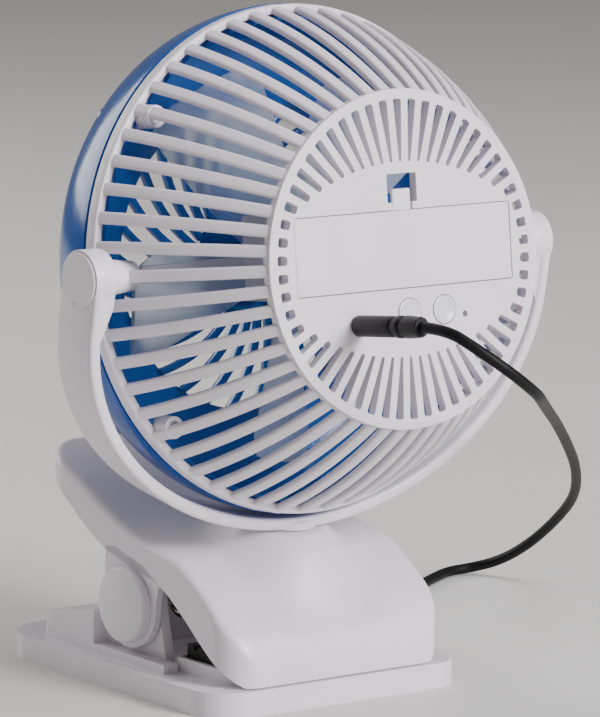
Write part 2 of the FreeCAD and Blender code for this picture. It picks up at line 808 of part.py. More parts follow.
def charging_jack():
    rear = plate_face - plate_thickness - 0.02
    body = box(jack_x - 4.2, jack_x + 4.2, rear - 11.5, rear, jack_z - 4.2, jack_z + 4.2)
    body = body.cut(rod(2.0, V(jack_x, rear - 10.3, jack_z), V(jack_x, rear + 1, jack_z)))
    leg = box(12.0, jack_x - 4.0, board_y + board_thickness + 0.02, board_y + board_thickness + 2.6, -20, -15)
    return in_head(body.fuse(leg))


def switches():
    found = []
    seat = board_y + board_thickness + 0.02
    for x in button_x:
        body = box(x - 3.0, x + 3.0, seat, seat + 2.0, button_z - 3.0, button_z + 3.0)
        found.append(body.fuse(rod(1.6, V(x, seat + 1.9, button_z), V(x, seat + 2.5, button_z))))
    return in_head(group(found))


def button(x):
    back = plate_face - plate_thickness
    seat = board_y + board_thickness + 0.02 + 2.5
    face = rod(button_radius, V(x, back - 0.5, button_z), V(x, plate_face + 0.35, button_z))
    flange = rod(button_radius + 0.9, V(x, back - 1.0, button_z), V(x, back - 0.2, button_z))
    stem = rod(1.5, V(x, seat + button_travel + 0.1, button_z), V(x, back - 0.9, button_z))
    return in_head(joined([face, flange, stem]))


def status_led():
    seat = board_y + board_thickness + 0.02
    body = rod(1.6, V(led_x, seat, led_z), V(led_x, seat + 2.0, led_z))
    light = rod(0.75, V(led_x, seat + 1.9, led_z), V(led_x, plate_face - 0.2, led_z))
    return in_head(body.fuse(light))


# ---------------------------------------------------------------- head: motor and blade

def motor_can():
    rear = motor_front + motor_length
    can = disc(motor_radius, motor_front, rear)
    nose = disc(3.5, motor_front - 1.4, motor_front + 0.5)
    return in_head(can.fuse(nose).cut(disc(shaft_radius + running, motor_front - 3, rear - 4)))


def motor_mount():
    """The cup that holds the motor on the battery tray, and its two arms to the head's pivots."""
    rear = plate_face - plate_thickness - 0.02 - tray_depth - 0.02
    wall = 2.0
    inside = motor_radius + fit
    cup = disc(inside + wall, motor_front + 1.5, rear).cut(disc(inside, motor_front, rear - 1.2))
    arm = box(inside + 0.5, 65.6, 0.0, 4.0, -2.5, 2.5)
    return in_head(joined([cup] + both_sides(arm)))


def motor_shaft():
    return in_head(disc(shaft_radius, blade_y - 7.5, motor_front + motor_length - 6))


def fan_blade():
    hub_front = blade_y - 7.5
    hub_rear = blade_y + 7.0
    hub = disc(hub_radius, hub_front, hub_rear).cut(disc(hub_radius - 1.6, hub_front + 1.6, hub_rear + 1))
    socket = disc(3.2, hub_front + 1, hub_rear)
    blades = [turned(one_blade(), i * 360.0 / blade_count) for i in range(blade_count)]
    solid = joined([hub, socket] + blades)
    return in_head(solid.cut(disc(shaft_radius + 0.005, hub_front - 1, hub_rear + 1)))


def one_blade():
    """A twisted blade lofted between its root and its tip section."""
    sections = []
    for radius, width, tilt in ((hub_radius - 0.8, 22.0, 36.0), (36.0, 34.0, 29.0), (blade_radius, 44.0, 21.0)):
        t = math.radians(tilt)
        along = V(0, math.sin(t), math.cos(t))
        across = V(0, math.cos(t), -math.sin(t))
        corners = []
        for a, b in ((-1, -1), (1, -1), (1, 1), (-1, 1)):
            corners.append(V(radius, blade_y, 0) + along * (a * width / 2) + across * (b * 0.7))
        sections.append(Part.makePolygon(corners + corners[:1]))
    return Part.makeLoft(sections, True, True)


def blade_cap():
    front = blade_y - 7.5
    cap = disc(5.0, front - 2.6, front - 0.02)
    rim = [e for e in cap.Edges if abs(e.CenterOfMass.y - front + 2.6) < 0.01]
    return in_head(cap.makeFillet(0.8, rim))


# ---------------------------------------------------------------- lead and plugs

def plug_axis(y):
    return V(jack_x, y, jack_z)


def plug_tip():
    return in_head(rod(1.75, plug_axis(plate_face - 9.5), plug_axis(plate_face + 0.28)))


def plug_grip():
    face = plate_face + 0.3
    body = rod(3.1, plug_axis(face), plug_axis(59.5))
    neck = rod(2.5, plug_axis(59.4), plug_axis(61.0))
    return in_head(body.fuse(neck))


def plug_relief():
    collar = rod(3.25, plug_axis(61.02), plug_axis(63.5))
    neck = rod(2.6, plug_axis(63.4), plug_axis(65.1))
    sleeve = cone(3.3, 2.9, plug_axis(65.0), plug_axis(71.8))
    return in_head(joined([collar, neck, sleeve]))


def tube_path(points):
    """Straight runs joined by tangent arcs, each as large as its two runs allow."""
    edges = []
    radii = []
    start = points[0]
    for before, corner, after in zip(points, points[1:], points[2:]):
        back = before - corner
        ahead = after - corner
        shorter = min(back.Length, ahead.Length)
        cut = 0.45 * shorter
        half_turn = (math.pi - back.getAngle(ahead)) / 2
        radius = cut / math.tan(half_turn)
        radii.append(round(radius, 1))
        enter = corner + back.normalize() * cut
        leave = corner + ahead.normalize() * cut
        toward = ((enter + leave) * 0.5 - corner).normalize()
        middle = corner + toward * (radius / math.cos(half_turn) - radius)
        edges.append(Part.makeLine(start, enter))
        edges.append(Part.Arc(enter, middle, leave).toShape())
        start = leave
    edges.append(Part.makeLine(start, points[-1]))
    return Part.Wire(edges), radii


def tube(points, diameter):
    path, radii = tube_path(points)
    way = points[1] - points[0]
    circle = Part.Wire(Part.makeCircle(diameter / 2, points[0], way))
    shape = path.makePipeShell([circle], True, False)
    ideal = math.pi * diameter ** 2 / 4 * path.Length
    print(f"tube: length {path.Length:.1f}, radii {radii}, volume ratio {shape.Volume / ideal:.4f}")
    return shape


def usb_frame(shape):
    """Lay the far plug flat behind the coil."""
    way = FreeCAD.Rotation(Z, usb_heading)
    return shape.transformed(FreeCAD.Placement(usb_place, way).toMatrix())


usb_heading = -12.0
usb_place = V(-101.0, -119.5, 4.2)


def usb_grip():
    grip = box(0, 24, -7.8, 7.8, -4.1, 4.1)
    upright = [e for e in grip.Edges if abs(e.tangentAt(e.FirstParameter).z) > 0.99]
    grip = grip.makeFillet(2.0, upright)
    neck = rod(2.6, V(-7, 0, 0), V(0.5, 0, 0))
    return usb_frame(grip.fuse(neck))


def usb_shell():
    outer = box(24.02, 42.5, -6.0, 6.0, -2.25, 2.25)
    inner = box(25.5, 43, -5.6, 5.6, -1.85, 1.85)
    tongue = box(25.4, 41.0, -5.4, 5.4, -1.7, 0.2)
    return usb_frame(outer.cut(inner).fuse(tongue))


def tail_route():
    """From the coil's last turn to the far plug's neck."""
    neck = usb_place + FreeCAD.Rotation(Z, usb_heading).multVec(V(-7, 0, 0))
    return [
        V(coil_x - 12.0, coil_y - 11.0, 4.0), V(coil_x - 24.0, coil_y - 6.5, 1.8), V(coil_x - 38.0, coil_y - 9.5, 1.8),
        V(coil_x - 47.0, coil_y - 21.5, 1.8), V(coil_x - 45.0, coil_y - 35.5, 2.2), V(coil_x - 35.5, coil_y - 43.8, 3.2), neck,
    ]


def lead_coil():
    return Part.makeTorus(coil_radius, coil_bundle, V(coil_x, coil_y, coil_bundle + 0.05), Z)


os.makedirs("parts", exist_ok=True)

sub_parts = {
    "base_shell": base_shell,
    "base_cover": base_cover,
    "base_pad": base_pad,
    "cover_screws": cover_screws,
    "lower_jaw_pad": lower_jaw_pad,
    "hinge_pin": hinge_pin,
    "clamp_spring": clamp_spring,
    "upper_jaw": upper_jaw,
    "upper_jaw_pad": upper_jaw_pad,
    "hinge_caps": hinge_caps,
    "yoke": yoke,
    "arm_caps": arm_caps,
    "swivel_washer": swivel_washer,
    "swivel_screw": swivel_screw,
    "pivot_screws": pivot_screws,
    "rear_grille": rear_grille,
    "grille_screws": grille_screws,
    "front_grille": front_grille,
    "front_badge": front_badge,
    "battery_tray": battery_tray,
    "battery_cell": battery_cell,
    "battery_contacts": battery_contacts,
    "battery_door": battery_door,
    "circuit_board": circuit_board,
    "board_screws": board_screws,
    "charging_jack": charging_jack,
    "switches": switches,
    "power_button": lambda: button(button_x[0]),
    "mode_button": lambda: button(button_x[1]),
    "status_led": status_led,
    "motor_can": motor_can,
    "motor_mount": motor_mount,
    "motor_shaft": motor_shaft,
    "fan_blade": fan_blade,
    "blade_cap": blade_cap,
    "plug_tip": plug_tip,
    "plug_grip": plug_grip,
    "plug_relief": plug_relief,
    "lead_upper": lambda: tube(upper_route, cord_diameter),
    "lead_middle": lambda: tube(middle_route, cord_diameter),
    "lead_lower": lambda: tube(lower_route, cord_diameter),
    "lead_coil": lead_coil,
    "lead_tail": lambda: tube(tail_route(), cord_diameter),
    "usb_grip": usb_grip,
    "usb_shell": usb_shell,
}
for name, make in sub_parts.items():
    save(name, make())
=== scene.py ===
import bpy
import bmesh
import json
import math
from mathutils import Matrix, Vector


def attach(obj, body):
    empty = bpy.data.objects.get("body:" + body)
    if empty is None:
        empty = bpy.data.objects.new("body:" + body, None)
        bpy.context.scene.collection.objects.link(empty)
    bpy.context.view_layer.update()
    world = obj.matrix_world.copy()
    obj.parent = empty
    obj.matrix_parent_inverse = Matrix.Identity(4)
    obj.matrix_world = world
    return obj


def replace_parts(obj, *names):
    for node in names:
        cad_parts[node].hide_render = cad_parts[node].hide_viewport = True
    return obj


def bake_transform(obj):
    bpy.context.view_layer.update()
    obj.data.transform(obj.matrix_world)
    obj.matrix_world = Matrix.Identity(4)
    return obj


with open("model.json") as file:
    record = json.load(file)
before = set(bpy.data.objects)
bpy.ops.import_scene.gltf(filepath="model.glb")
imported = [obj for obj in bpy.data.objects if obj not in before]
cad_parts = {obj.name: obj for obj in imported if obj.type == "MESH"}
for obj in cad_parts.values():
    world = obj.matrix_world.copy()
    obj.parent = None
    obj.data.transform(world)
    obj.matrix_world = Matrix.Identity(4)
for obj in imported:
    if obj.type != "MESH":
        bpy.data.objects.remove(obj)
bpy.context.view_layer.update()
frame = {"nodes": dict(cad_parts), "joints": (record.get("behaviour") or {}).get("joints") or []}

mm = 0.001
joints = {joint["name"]: joint for joint in frame["joints"]}
pivot = Vector(joints["head_tilt"]["pos_m"])
hinge = Vector(joints["jaw_hinge"]["pos_m"]) / mm
fanAxis = Vector(joints["fan_spin"]["axis"])
swivelAxis = Vector(joints["yoke_swivel"]["axis"])
headPitch = math.atan2(fanAxis.z, fanAxis.y)      # the head leans back a little
yokeLean = math.atan2(swivelAxis.y, swivelAxis.z)
toMetres = Matrix.Scale(mm, 4)
headPlace = Matrix.Translation(pivot) @ Matrix.Rotation(headPitch, 4, "X") @ toMetres
yokePlace = Matrix.Translation(pivot) @ Matrix.Rotation(-yokeLean, 4, "X") @ toMetres
alongX = Matrix.Rotation(math.radians(-90), 4, "Z")   # turns a shape made about Y so that it stands about X
alongZ = Matrix.Rotation(math.radians(90), 4, "X")    # and about Z


# camera

def makeCamera():
    settings = {
        "place": (0.92361, 1.22192, 0.34931), "looksAt": (-0.01572, 0.01135, 0.09538), "roll": 1.18, "lens": 259.2,
    }
    data = bpy.data.cameras.new("camera")
    data.lens = settings["lens"]
    data.clip_start, data.clip_end = 0.05, 50
    camera = bpy.data.objects.new("camera", data)
    bpy.context.scene.collection.objects.link(camera)
    look = Vector(settings["looksAt"]) - Vector(settings["place"])
    turn = look.to_track_quat("-Z", "Y").to_matrix().to_4x4()
    roll = Matrix.Rotation(math.radians(settings["roll"]), 4, "Z")
    camera.matrix_world = Matrix.Translation(settings["place"]) @ turn @ roll
    bpy.context.scene.camera = camera


makeCamera()


# materials

def linear(code):    # hex sRGB to linear
    values = [int(code[i:i + 2], 16) / 255 for i in (0, 2, 4)]
    return [v / 12.92 if v <= 0.04045 else ((v + 0.055) / 1.055) ** 2.4 for v in values] + [1.0]


def addNode(tree, kind, settings=None, **links):
    node = tree.nodes.new(kind)
    for key, value in (settings or {}).items():
        if hasattr(node, key) and key not in node.inputs:
            setattr(node, key, value)
        else:
            node.inputs[key].default_value = value
    for key, source in links.items():
        tree.links.new(source, node.inputs[key.replace("_", " ")])
    return node


def material(name, colour, settings, grain=None, mottle=None):
    # grain is (size, depth) in mm, mottle is (size in mm, second colour)
    made = bpy.data.materials.new(name)
    made.use_nodes = True
    tree = made.node_tree
    tree.nodes.clear()
    shader = addNode(tree, "ShaderNodeBsdfPrincipled", {"Base Color": linear(colour), **settings})
    where = addNode(tree, "ShaderNodeTexCoord").outputs["Object"]
    if mottle:
        size, second = mottle
        cloud = addNode(tree, "ShaderNodeTexNoise", {"Scale": 1 / (size * mm), "Detail": 3.0}, Vector=where)
        blend = addNode(tree, "ShaderNodeMix", {"data_type": "RGBA"}, Factor=cloud.outputs["Fac"])
        blend.inputs[6].default_value = linear(colour)      # the mix node's two colours, and its colour result
        blend.inputs[7].default_value = linear(second)
        tree.links.new(blend.outputs[2], shader.inputs["Base Color"])
    if grain:
        size, depth = grain
        fine = addNode(tree, "ShaderNodeTexNoise", {"Scale": 1 / (size * mm), "Detail": 2.0}, Vector=where)
        bump = addNode(tree, "ShaderNodeBump", {"Strength": 0.5, "Distance": depth * mm}, Height=fine.outputs["Fac"])
        tree.links.new(bump.outputs["Normal"], shader.inputs["Normal"])
    addNode(tree, "ShaderNodeOutputMaterial", Surface=shader.outputs["BSDF"])
    return made


# moulded ABS: satin, very slightly milky, with the faintest cloudiness from the tool
absSettings = {
    "Roughness": 0.38, "IOR": 1.53, "Specular IOR Level": 0.45, "Subsurface Weight": 0.08, "Subsurface Scale": 0.002,
}
mouldedAbs = material("mouldedAbs", "E6E1E8", absSettings, (0.5, 0.02), (14, "DDD6DF"))
# polished ABS: a sharper highlight than the plate round the buttons
whiteButton = material("polishedAbs", "DEDCE2", {"Roughness": 0.28, "IOR": 1.53}, (0.5, 0.01), (3, "D6D3DA"))
# grey ABS as it leaves the mould: flat and plain behind the cage
greyAbs = material("greyAbs", "C4C6CC", {"Roughness": 0.45, "IOR": 1.53}, (0.4, 0.03), (9, "B7BAC1"))
# tinted polystyrene: glassy, light enters and comes out deeper blue
tinted = {"Roughness": 0.18, "IOR": 1.5, "Transmission Weight": 0.5}
blueStyrene = material("tintedStyrene", "1A6FC9", tinted, (6, 0.05), (18, "1262C0"))
# natural polypropylene: milky, so that what is behind the blades shows as a haze
milky = {"Roughness": 0.3, "IOR": 1.3, "Transmission Weight": 0.82}
milkyPp = material("milkyPolypropylene", "E2ECF4", milky, (4, 0.03), (12, "D6E4F0"))
# soft rubber: matt and green-black, with the fine tooth that a mould leaves
rubber = {"Roughness": 0.72, "IOR": 1.52, "Sheen Weight": 0.15}
padRubber = material("padRubber", "171C18", rubber, (0.35, 0.08), (5, "20261F"))
# PVC jacket, extruded: satin black, a little orange peel
jacket = {"Roughness": 0.5, "IOR": 1.45, "Specular IOR Level": 0.2}
pvcJacket = material("pvcJacket", "0B0B0A", jacket, (0.7, 0.05), (6, "141617"))
# PVC overmould: the same black with a finer, slightly glossier skin
overmould = {"Roughness": 0.46, "IOR": 1.5, "Specular IOR Level": 0.35}
pvcMould = material("pvcOvermould", "0E0F10", overmould, (0.3, 0.04), (4, "191C1E"))
# zinc-plated steel: light grey with a soft glint
zincSteel = material("zincPlatedSteel", "B9BBBE", {"Metallic": 1.0, "Roughness": 0.30}, (0.3, 0.02), (2, "A6A8AB"))
# drawn spring wire under oil: brown-grey, dark between its highlights
springWire = material("oiledSpringWire", "6B5B57", {"Metallic": 1.0, "Roughness": 0.36}, (0.4, 0.03), (3, "574844"))
# pressed steel can: cool grey, light in bands round the drum
canSteel = material("pressedSteelCan", "A7ABB1", {"Metallic": 1.0, "Roughness": 0.34}, (0.25, 0.02), (5, "999DA3"))
# nickel plating: bright, a little warm
nickelPlate = material("nickelPlate", "CFCBC2", {"Metallic": 1.0, "Roughness": 0.18}, (0.5, 0.01), (3, "C2BDB3"))
# shrink sleeve of the cell: thin glossy blue film
cellSleeve = material("shrinkSleeve", "2F6FA3", {"Roughness": 0.3, "IOR": 1.5}, (0.8, 0.03), (8, "28638F"))
# solder mask: glossy green lacquer, a little uneven
solderMask = material("greenSolderMask", "14512F", {"Roughness": 0.32, "IOR": 1.5}, (0.6, 0.03), (2, "1B6239"))
# acrylic light pipe: nearly clear, polished
clearAcrylic = {"Roughness": 0.1, "IOR": 1.49, "Transmission Weight": 0.8}
clearPipe = material("clearAcrylic", "E4EBF2", clearAcrylic, None, (2, "D8E2EC"))
# wire sheath: pale and glossy
wireSheath = material("clearWireSheath", "D9D8D2", {"Roughness": 0.25, "IOR": 1.5}, (0.5, 0.02), (4, "C9C8C0"))
print("materials made")


# mesh helpers: shapes are in millimetres until they are placed

def finish(name, bm, place, stuff, body, smooth=35):
    bmesh.ops.remove_doubles(bm, verts=bm.verts, dist=1e-5)
    bmesh.ops.recalc_face_normals(bm, faces=bm.faces)
    mesh = bpy.data.meshes.new(name)
    bm.to_mesh(mesh)
    bm.free()
    mesh.transform(place)
    return asPiece(name, mesh, stuff, body, smooth)


def asPiece(name, mesh, stuff, body, smooth=35):
    mesh.materials.clear()
    mesh.materials.append(stuff)
    mesh.shade_smooth()
    mesh.set_sharp_from_angle(angle=math.radians(smooth))
    piece = bpy.data.objects.new(name, mesh)
    bpy.context.scene.collection.objects.link(piece)
    if body:
        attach(piece, body)
    return piece


def soften(piece, width, segments=2, angle=30):
    edge = piece.modifiers.new("soften", "BEVEL")
    edge.width = width * mm
    edge.segments = segments
    edge.limit_method = "ANGLE"
    edge.angle_limit = math.radians(angle)
    edge.harden_normals = True
    edge.miter_outer = "MITER_ARC"


def lathe(bm, profile, segments=128, turn=None):
    # a profile of (radius, y) spun about Y, closed or with both ends on the axis
    made = []
    rings = []
    for radius, y in profile:
        count = segments if radius > 1e-6 else 1
        ring = []
        for i in range(count):
            angle = 2 * math.pi * i / segments
            ring.append(bm.verts.new((radius * math.cos(angle), y, radius * math.sin(angle))))
        rings.append(ring)
        made += ring
    following = rings[1:] + (rings[:1] if len(rings[0]) > 1 else [])
    for a, b in zip(rings, following):
        for i in range(segments):
            j = (i + 1) % segments
            corners = [a[i % len(a)], a[j % len(a)], b[j % len(b)], b[i % len(b)]]
            corners = list(dict.fromkeys(corners))
            if len(corners) > 2:
                bm.faces.new(corners)
    if turn:
        bmesh.ops.transform(bm, matrix=turn, verts=made)
    return made


def loft(bm, rings):
    # rings of points joined in order, with flat ends
    made = [[bm.verts.new(p) for p in ring] for ring in rings]
    count = len(made[0])
    for a, b in zip(made, made[1:]):
        for i in range(count):
            j = (i + 1) % count
            bm.faces.new((a[i], a[j], b[j], b[i]))
    bm.faces.new(made[0][::-1])
    bm.faces.new(made[-1])
    return [v for ring in made for v in ring]


def prism(bm, outline, low, high, axis="y"):
    # an outline in the other two axes, extruded along one
    orders = {"x": lambda a, b, t: (t, a, b), "y": lambda a, b, t: (a, t, b), "z": lambda a, b, t: (a, b, t)}
    order = orders[axis]
    return loft(bm, [[order(a, b, t) for a, b in outline] for t in (low, high)])


def block(bm, x0, x1, y0, y1, z0, z1):
    return prism(bm, [(x0, y0), (x1, y0), (x1, y1), (x0, y1)], z0, z1, "z")


def rounded(points, radius, steps=3):
    # the outline with its corners turned into short arcs
    made = []
    count = len(points)
    for i, point in enumerate(points):
        here = Vector(point)
        back = Vector(points[i - 1]) - here
        ahead = Vector(points[(i + 1) % count]) - here
        reach = min(radius, 0.45 * back.length, 0.45 * ahead.length)
        start, end = here + back.normalized() * reach, here + ahead.normalized() * reach
        for k in range(steps + 1):
            t = k / steps
            made.append(tuple(start * (1 - t) ** 2 + here * (2 * t * (1 - t)) + end * t ** 2))
    return made


def smoothLine(points, steps=4):
    # a Catmull-Rom line through the points
    made = []
    line = [Vector(p) for p in points]
    for i in range(len(line) - 1):
        a, b, c, d = line[max(i - 1, 0)], line[i], line[i + 1], line[min(i + 2, len(line) - 1)]
        for k in range(steps):
            t = k / steps
            made.append(tuple(0.5 * (2 * b + (c - a) * t + (2 * a - 5 * b + 4 * c - d) * t ** 2
                                     + (3 * b - a - 3 * c + d) * t ** 3)))
    return made + [tuple(line[-1])]


def copied(name, node, stuff, body, bevel=0.3, segments=2):
    # a CAD node's shape with its doubles merged and its edges softened
    bm = bmesh.new()
    bm.from_mesh(frame["nodes"][node].data)
    bmesh.ops.remove_doubles(bm, verts=bm.verts, dist=2e-6)
    bmesh.ops.dissolve_limit(bm, angle_limit=math.radians(1.5), verts=bm.verts, edges=bm.edges)
    mesh = bpy.data.meshes.new(name)
    bm.to_mesh(mesh)
    bm.free()
    piece = asPiece(name, mesh, stuff, body, 30)
    if bevel:
        soften(piece, bevel, segments)
    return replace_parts(piece, node)


def paint(stuff, *nodes):
    for node in nodes:
        mesh = frame["nodes"][node].data
        mesh.materials.clear()
        mesh.materials.append(stuff)


# Geometry Nodes: a ring of copies about the fan's axis

def ringTree():
    tree = bpy.data.node_groups.new("ringOfCopies", "GeometryNodeTree")
    sockets = tree.interface
    sockets.new_socket("Geometry", in_out="INPUT", socket_type="NodeSocketGeometry")
    sockets.new_socket("Count", in_out="INPUT", socket_type="NodeSocketInt")
    sockets.new_socket("First Turn", in_out="INPUT", socket_type="NodeSocketFloat")
    sockets.new_socket("Material", in_out="INPUT", socket_type="NodeSocketMaterial")
    sockets.new_socket("Geometry", in_out="OUTPUT", socket_type="NodeSocketGeometry")
    given = addNode(tree, "NodeGroupInput")
    points = addNode(tree, "GeometryNodePoints", Count=given.outputs["Count"])
    index = addNode(tree, "GeometryNodeInputIndex")
    step = addNode(tree, "ShaderNodeMath", {"operation": "DIVIDE"})
    step.inputs[0].default_value = 2 * math.pi
    tree.links.new(given.outputs["Count"], step.inputs[1])
    turn = addNode(tree, "ShaderNodeMath", {"operation": "MULTIPLY_ADD"})
    tree.links.new(index.outputs["Index"], turn.inputs[0])
    tree.links.new(step.outputs["Value"], turn.inputs[1])
    tree.links.new(given.outputs["First Turn"], turn.inputs[2])
    euler = addNode(tree, "ShaderNodeCombineXYZ", Y=turn.outputs["Value"])
    spin = addNode(tree, "FunctionNodeEulerToRotation", Euler=euler.outputs["Vector"])
    copies = addNode(tree, "GeometryNodeInstanceOnPoints", Points=points.outputs["Points"])
    tree.links.new(given.outputs["Geometry"], copies.inputs["Instance"])
    tree.links.new(spin.outputs["Rotation"], copies.inputs["Rotation"])
    real = addNode(tree, "GeometryNodeRealizeInstances", Geometry=copies.outputs["Instances"])
    dressed = addNode(tree, "GeometryNodeSetMaterial", Geometry=real.outputs["Geometry"])
    tree.links.new(given.outputs["Material"], dressed.inputs["Material"])
    result = addNode(tree, "NodeGroupOutput")
    tree.links.new(dressed.outputs["Geometry"], result.inputs["Geometry"])
    return tree


copyRing = ringTree()


def ringOf(name, bm, count, place, stuff, body, firstTurn=0.0, smooth=35):
    # copies of one shape about the Y axis, as one plain mesh
    bmesh.ops.recalc_face_normals(bm, faces=bm.faces)
    seed = bpy.data.meshes.new(name + "Seed")
    bm.to_mesh(seed)
    bm.free()
    carrier = bpy.data.objects.new(name + "Seed", seed)
    bpy.context.scene.collection.objects.link(carrier)
    maker = carrier.modifiers.new("ring", "NODES")
    maker.node_group = copyRing
    names = {item.name: item.identifier for item in copyRing.interface.items_tree if item.in_out == "INPUT"}
    maker[names["Count"]] = count
    maker[names["First Turn"]] = math.radians(firstTurn)
    maker[names["Material"]] = stuff
    bpy.context.view_layer.update()
    live = carrier.evaluated_get(bpy.context.evaluated_depsgraph_get())
    mesh = bpy.data.meshes.new_from_object(live)
    mesh.name = name
    bpy.data.objects.remove(carrier)
    mesh.transform(place)
    return asPiece(name, mesh, stuff, body, smooth)


# rear cage

cage = {
    "ribs": 54, "ribWide": 3.6, "ribDeep": 2.2, "inset": 0.6, "arcRadius": 155.1, "arcR": -72.45, "arcY": -53.6,
    "rimOuter": 75.2, "rimInner": 72.4, "rimFront": -10.5, "rimRear": -6.0,
    "plateRadius": 49.05, "face": 42.8, "plateThick": 3.0, "slotOuter": 46.2, "shortestSlot": 1.2, "barWide": 2.4,
    "panelHalf": 42.7, "lensRadius": 69.0, "lensDrop": 41.0,
    "screwCircle": 69.9, "screwAngles": (40, 140, 220, 320),
}
door = {"wide": 79.4, "high": 22.8, "z": 2.95, "thick": 1.6, "gap": 0.1, "ledge": 1.4, "endLedge": 1.6}
latch = {"neck": 3.7, "neckHigh": 2.1, "half": 5.4, "high": 10.4}      # the recess above the door
holes = {"button": 4.4, "led": 0.9, "plug": 2.6}
buttonsAt = {"power_button": (-0.5, -15.5), "mode_button": (-13.3, -15.5)}
plugX, plugZ = 18.5, -17.8
ledX, ledZ = -20.9, -17.3


def arcRadiusAt(y):    # how far from the axis the ribs run
    radius = cage["arcRadius"] - cage["inset"]
    return cage["arcR"] + math.sqrt(radius ** 2 - (y - cage["arcY"]) ** 2)


def makeRibs():
    bm = bmesh.new()
    half, deep = cage["ribWide"] / 2, cage["ribDeep"]
    section = rounded([(-half, 0), (half, 0), (half, -deep), (-half, -deep)], 0.8, 3)
    rings = []
    start, end, stations = cage["rimRear"] - 2.5, cage["face"] - 1.2, 15
    for i in range(stations):
        y = start + (end - start) * i / (stations - 1)
        r = arcRadiusAt(y)
        out = Vector((r - cage["arcR"], y - cage["arcY"])).normalized()
        rings.append([(r + out.x * d, y + out.y * d, w) for w, d in section])
    loft(bm, rings)
    return ringOf("cageRibs", bm, cage["ribs"], headPlace, mouldedAbs, "head")


def lensEdge(angle):
    # radius of the plate's closed panel in a direction, in radians from +X
    drop, radius = cage["lensDrop"], cage["lensRadius"]
    s, c = abs(math.sin(angle)), math.cos(angle)
    return min(cage["panelHalf"], -drop * s + math.sqrt(radius ** 2 - (drop * c) ** 2))


def cutAway(piece, cutter, selfCrossing=True):
    change = piece.modifiers.new("cut", "BOOLEAN")
    change.object = cutter
    change.solver = "EXACT"
    change.use_self = selfCrossing
    bpy.context.view_layer.update()
    live = piece.evaluated_get(bpy.context.evaluated_depsgraph_get())
    mesh = bpy.data.meshes.new_from_object(live)
    piece.modifiers.remove(change)
    piece.data = mesh
    bpy.data.objects.remove(cutter)


def looseShape(name, bm):
    bmesh.ops.recalc_face_normals(bm, faces=bm.faces)
    mesh = bpy.data.meshes.new(name)
    bm.to_mesh(mesh)
    bm.free()
    shape = bpy.data.objects.new(name, mesh)
    bpy.context.scene.collection.objects.link(shape)
    return shape


def circle(radius, x=0.0, z=0.0, count=40):
    angles = [2 * math.pi * i / count for i in range(count)]
    return [(x + radius * math.cos(a), z + radius * math.sin(a)) for a in angles]


def makePlate():
    face, back = cage["face"], cage["face"] - cage["plateThick"]
    bm = bmesh.new()
    prism(bm, circle(cage["plateRadius"], count=160), back, face)
    plate = looseShape("rearPlate", bm)
    cut = bmesh.new()
    low, high = back - 2, face + 2
    step = 2 * math.pi / cage["ribs"]
    half = cage["barWide"] / 2
    for i in range(cage["ribs"]):
        a, b = i * step, (i + 1) * step
        inner = lensEdge((a + b) / 2) + 0.05
        outer = cage["slotOuter"]
        if outer - inner < cage["shortestSlot"]:
            continue
        corners = []
        for angle, side, radius in ((a, 1, inner), (a, 1, outer), (b, -1, outer), (b, -1, inner)):
            along = math.sqrt(radius ** 2 - half ** 2)
            corners.append((along * math.cos(angle) - side * half * math.sin(angle),
                            along * math.sin(angle) + side * half * math.cos(angle)))
        prism(cut, rounded(corners, 0.8, 2), low, high)
    top = door["z"] + door["high"] / 2
    bottom = door["z"] - door["high"] / 2
    wide = door["wide"] / 2
    left, right = -wide + door["endLedge"], wide - door["endLedge"]
    sill, head = bottom + door["ledge"], top - door["ledge"]
    neck, recess = latch["neck"], latch["half"]
    shoulder, crown = top + latch["neckHigh"], top + latch["high"]
    window = [(left, sill), (right, sill), (right, head), (neck, head), (neck, shoulder), (recess, shoulder),
              (recess, crown), (-recess, crown), (-recess, shoulder), (-neck, shoulder), (-neck, head), (left, head)]
    prism(cut, window, low, high)
    for x, z in buttonsAt.values():
        prism(cut, circle(holes["button"], x, z), low, high)
    prism(cut, circle(holes["led"], ledX, ledZ, 16), low, high)
    prism(cut, circle(holes["plug"], plugX, plugZ, 28), low, high)
    cutAway(plate, looseShape("slots", cut), False)
    seat = bmesh.new()
    rebate = face - door["thick"] - door["gap"]
    opening = [(-wide, bottom), (wide, bottom), (wide, top), (-wide, top)]
    prism(seat, rounded(opening, 1.0, 3), rebate, high)
    block(seat, -neck, neck, rebate, high, top - 1, top + 2.5)
    cutAway(plate, looseShape("seat", seat))
    mesh = plate.data
    bpy.data.objects.remove(plate)
    mesh.transform(headPlace)
    piece = asPiece("rearPlate", mesh, mouldedAbs, "head", 30)
    soften(piece, 0.3, 2, 35)
    return piece


def makeRim():
    bm = bmesh.new()
    inner, outer, front, rear = cage["rimInner"], cage["rimOuter"], cage["rimFront"], cage["rimRear"]
    lathe(bm, rounded([(inner, front), (outer, front), (outer, rear), (inner, rear)], 0.9, 3), 180)
    return finish("rearRim", bm, headPlace, mouldedAbs, "head")


def makeBosses():
    # the pivots' bosses, and the pillars for the four screws
    bm = bmesh.new()
    for side in (-1, 1):
        profile = [(2.4, 66), (4.2, 66), (4.4, 67), (5.4, 76.2), (5.0, 76.8), (2.4, 76.8)]
        lathe(bm, [(r, side * x) for r, x in profile], 40, alongX)
    for angle in cage["screwAngles"]:
        turn = Matrix.Rotation(math.radians(-angle), 4, "Y") @ Matrix.Translation((cage["screwCircle"], 0, 0))
        pillar = [(1.4, -10.4), (3.6, -10.4), (3.3, -0.9), (1.9, -0.9), (1.9, -5.0), (1.4, -5.0)]
        lathe(bm, rounded(pillar, 0.3, 2), 32, turn)
    return finish("cageBosses", bm, headPlace, mouldedAbs, "head")


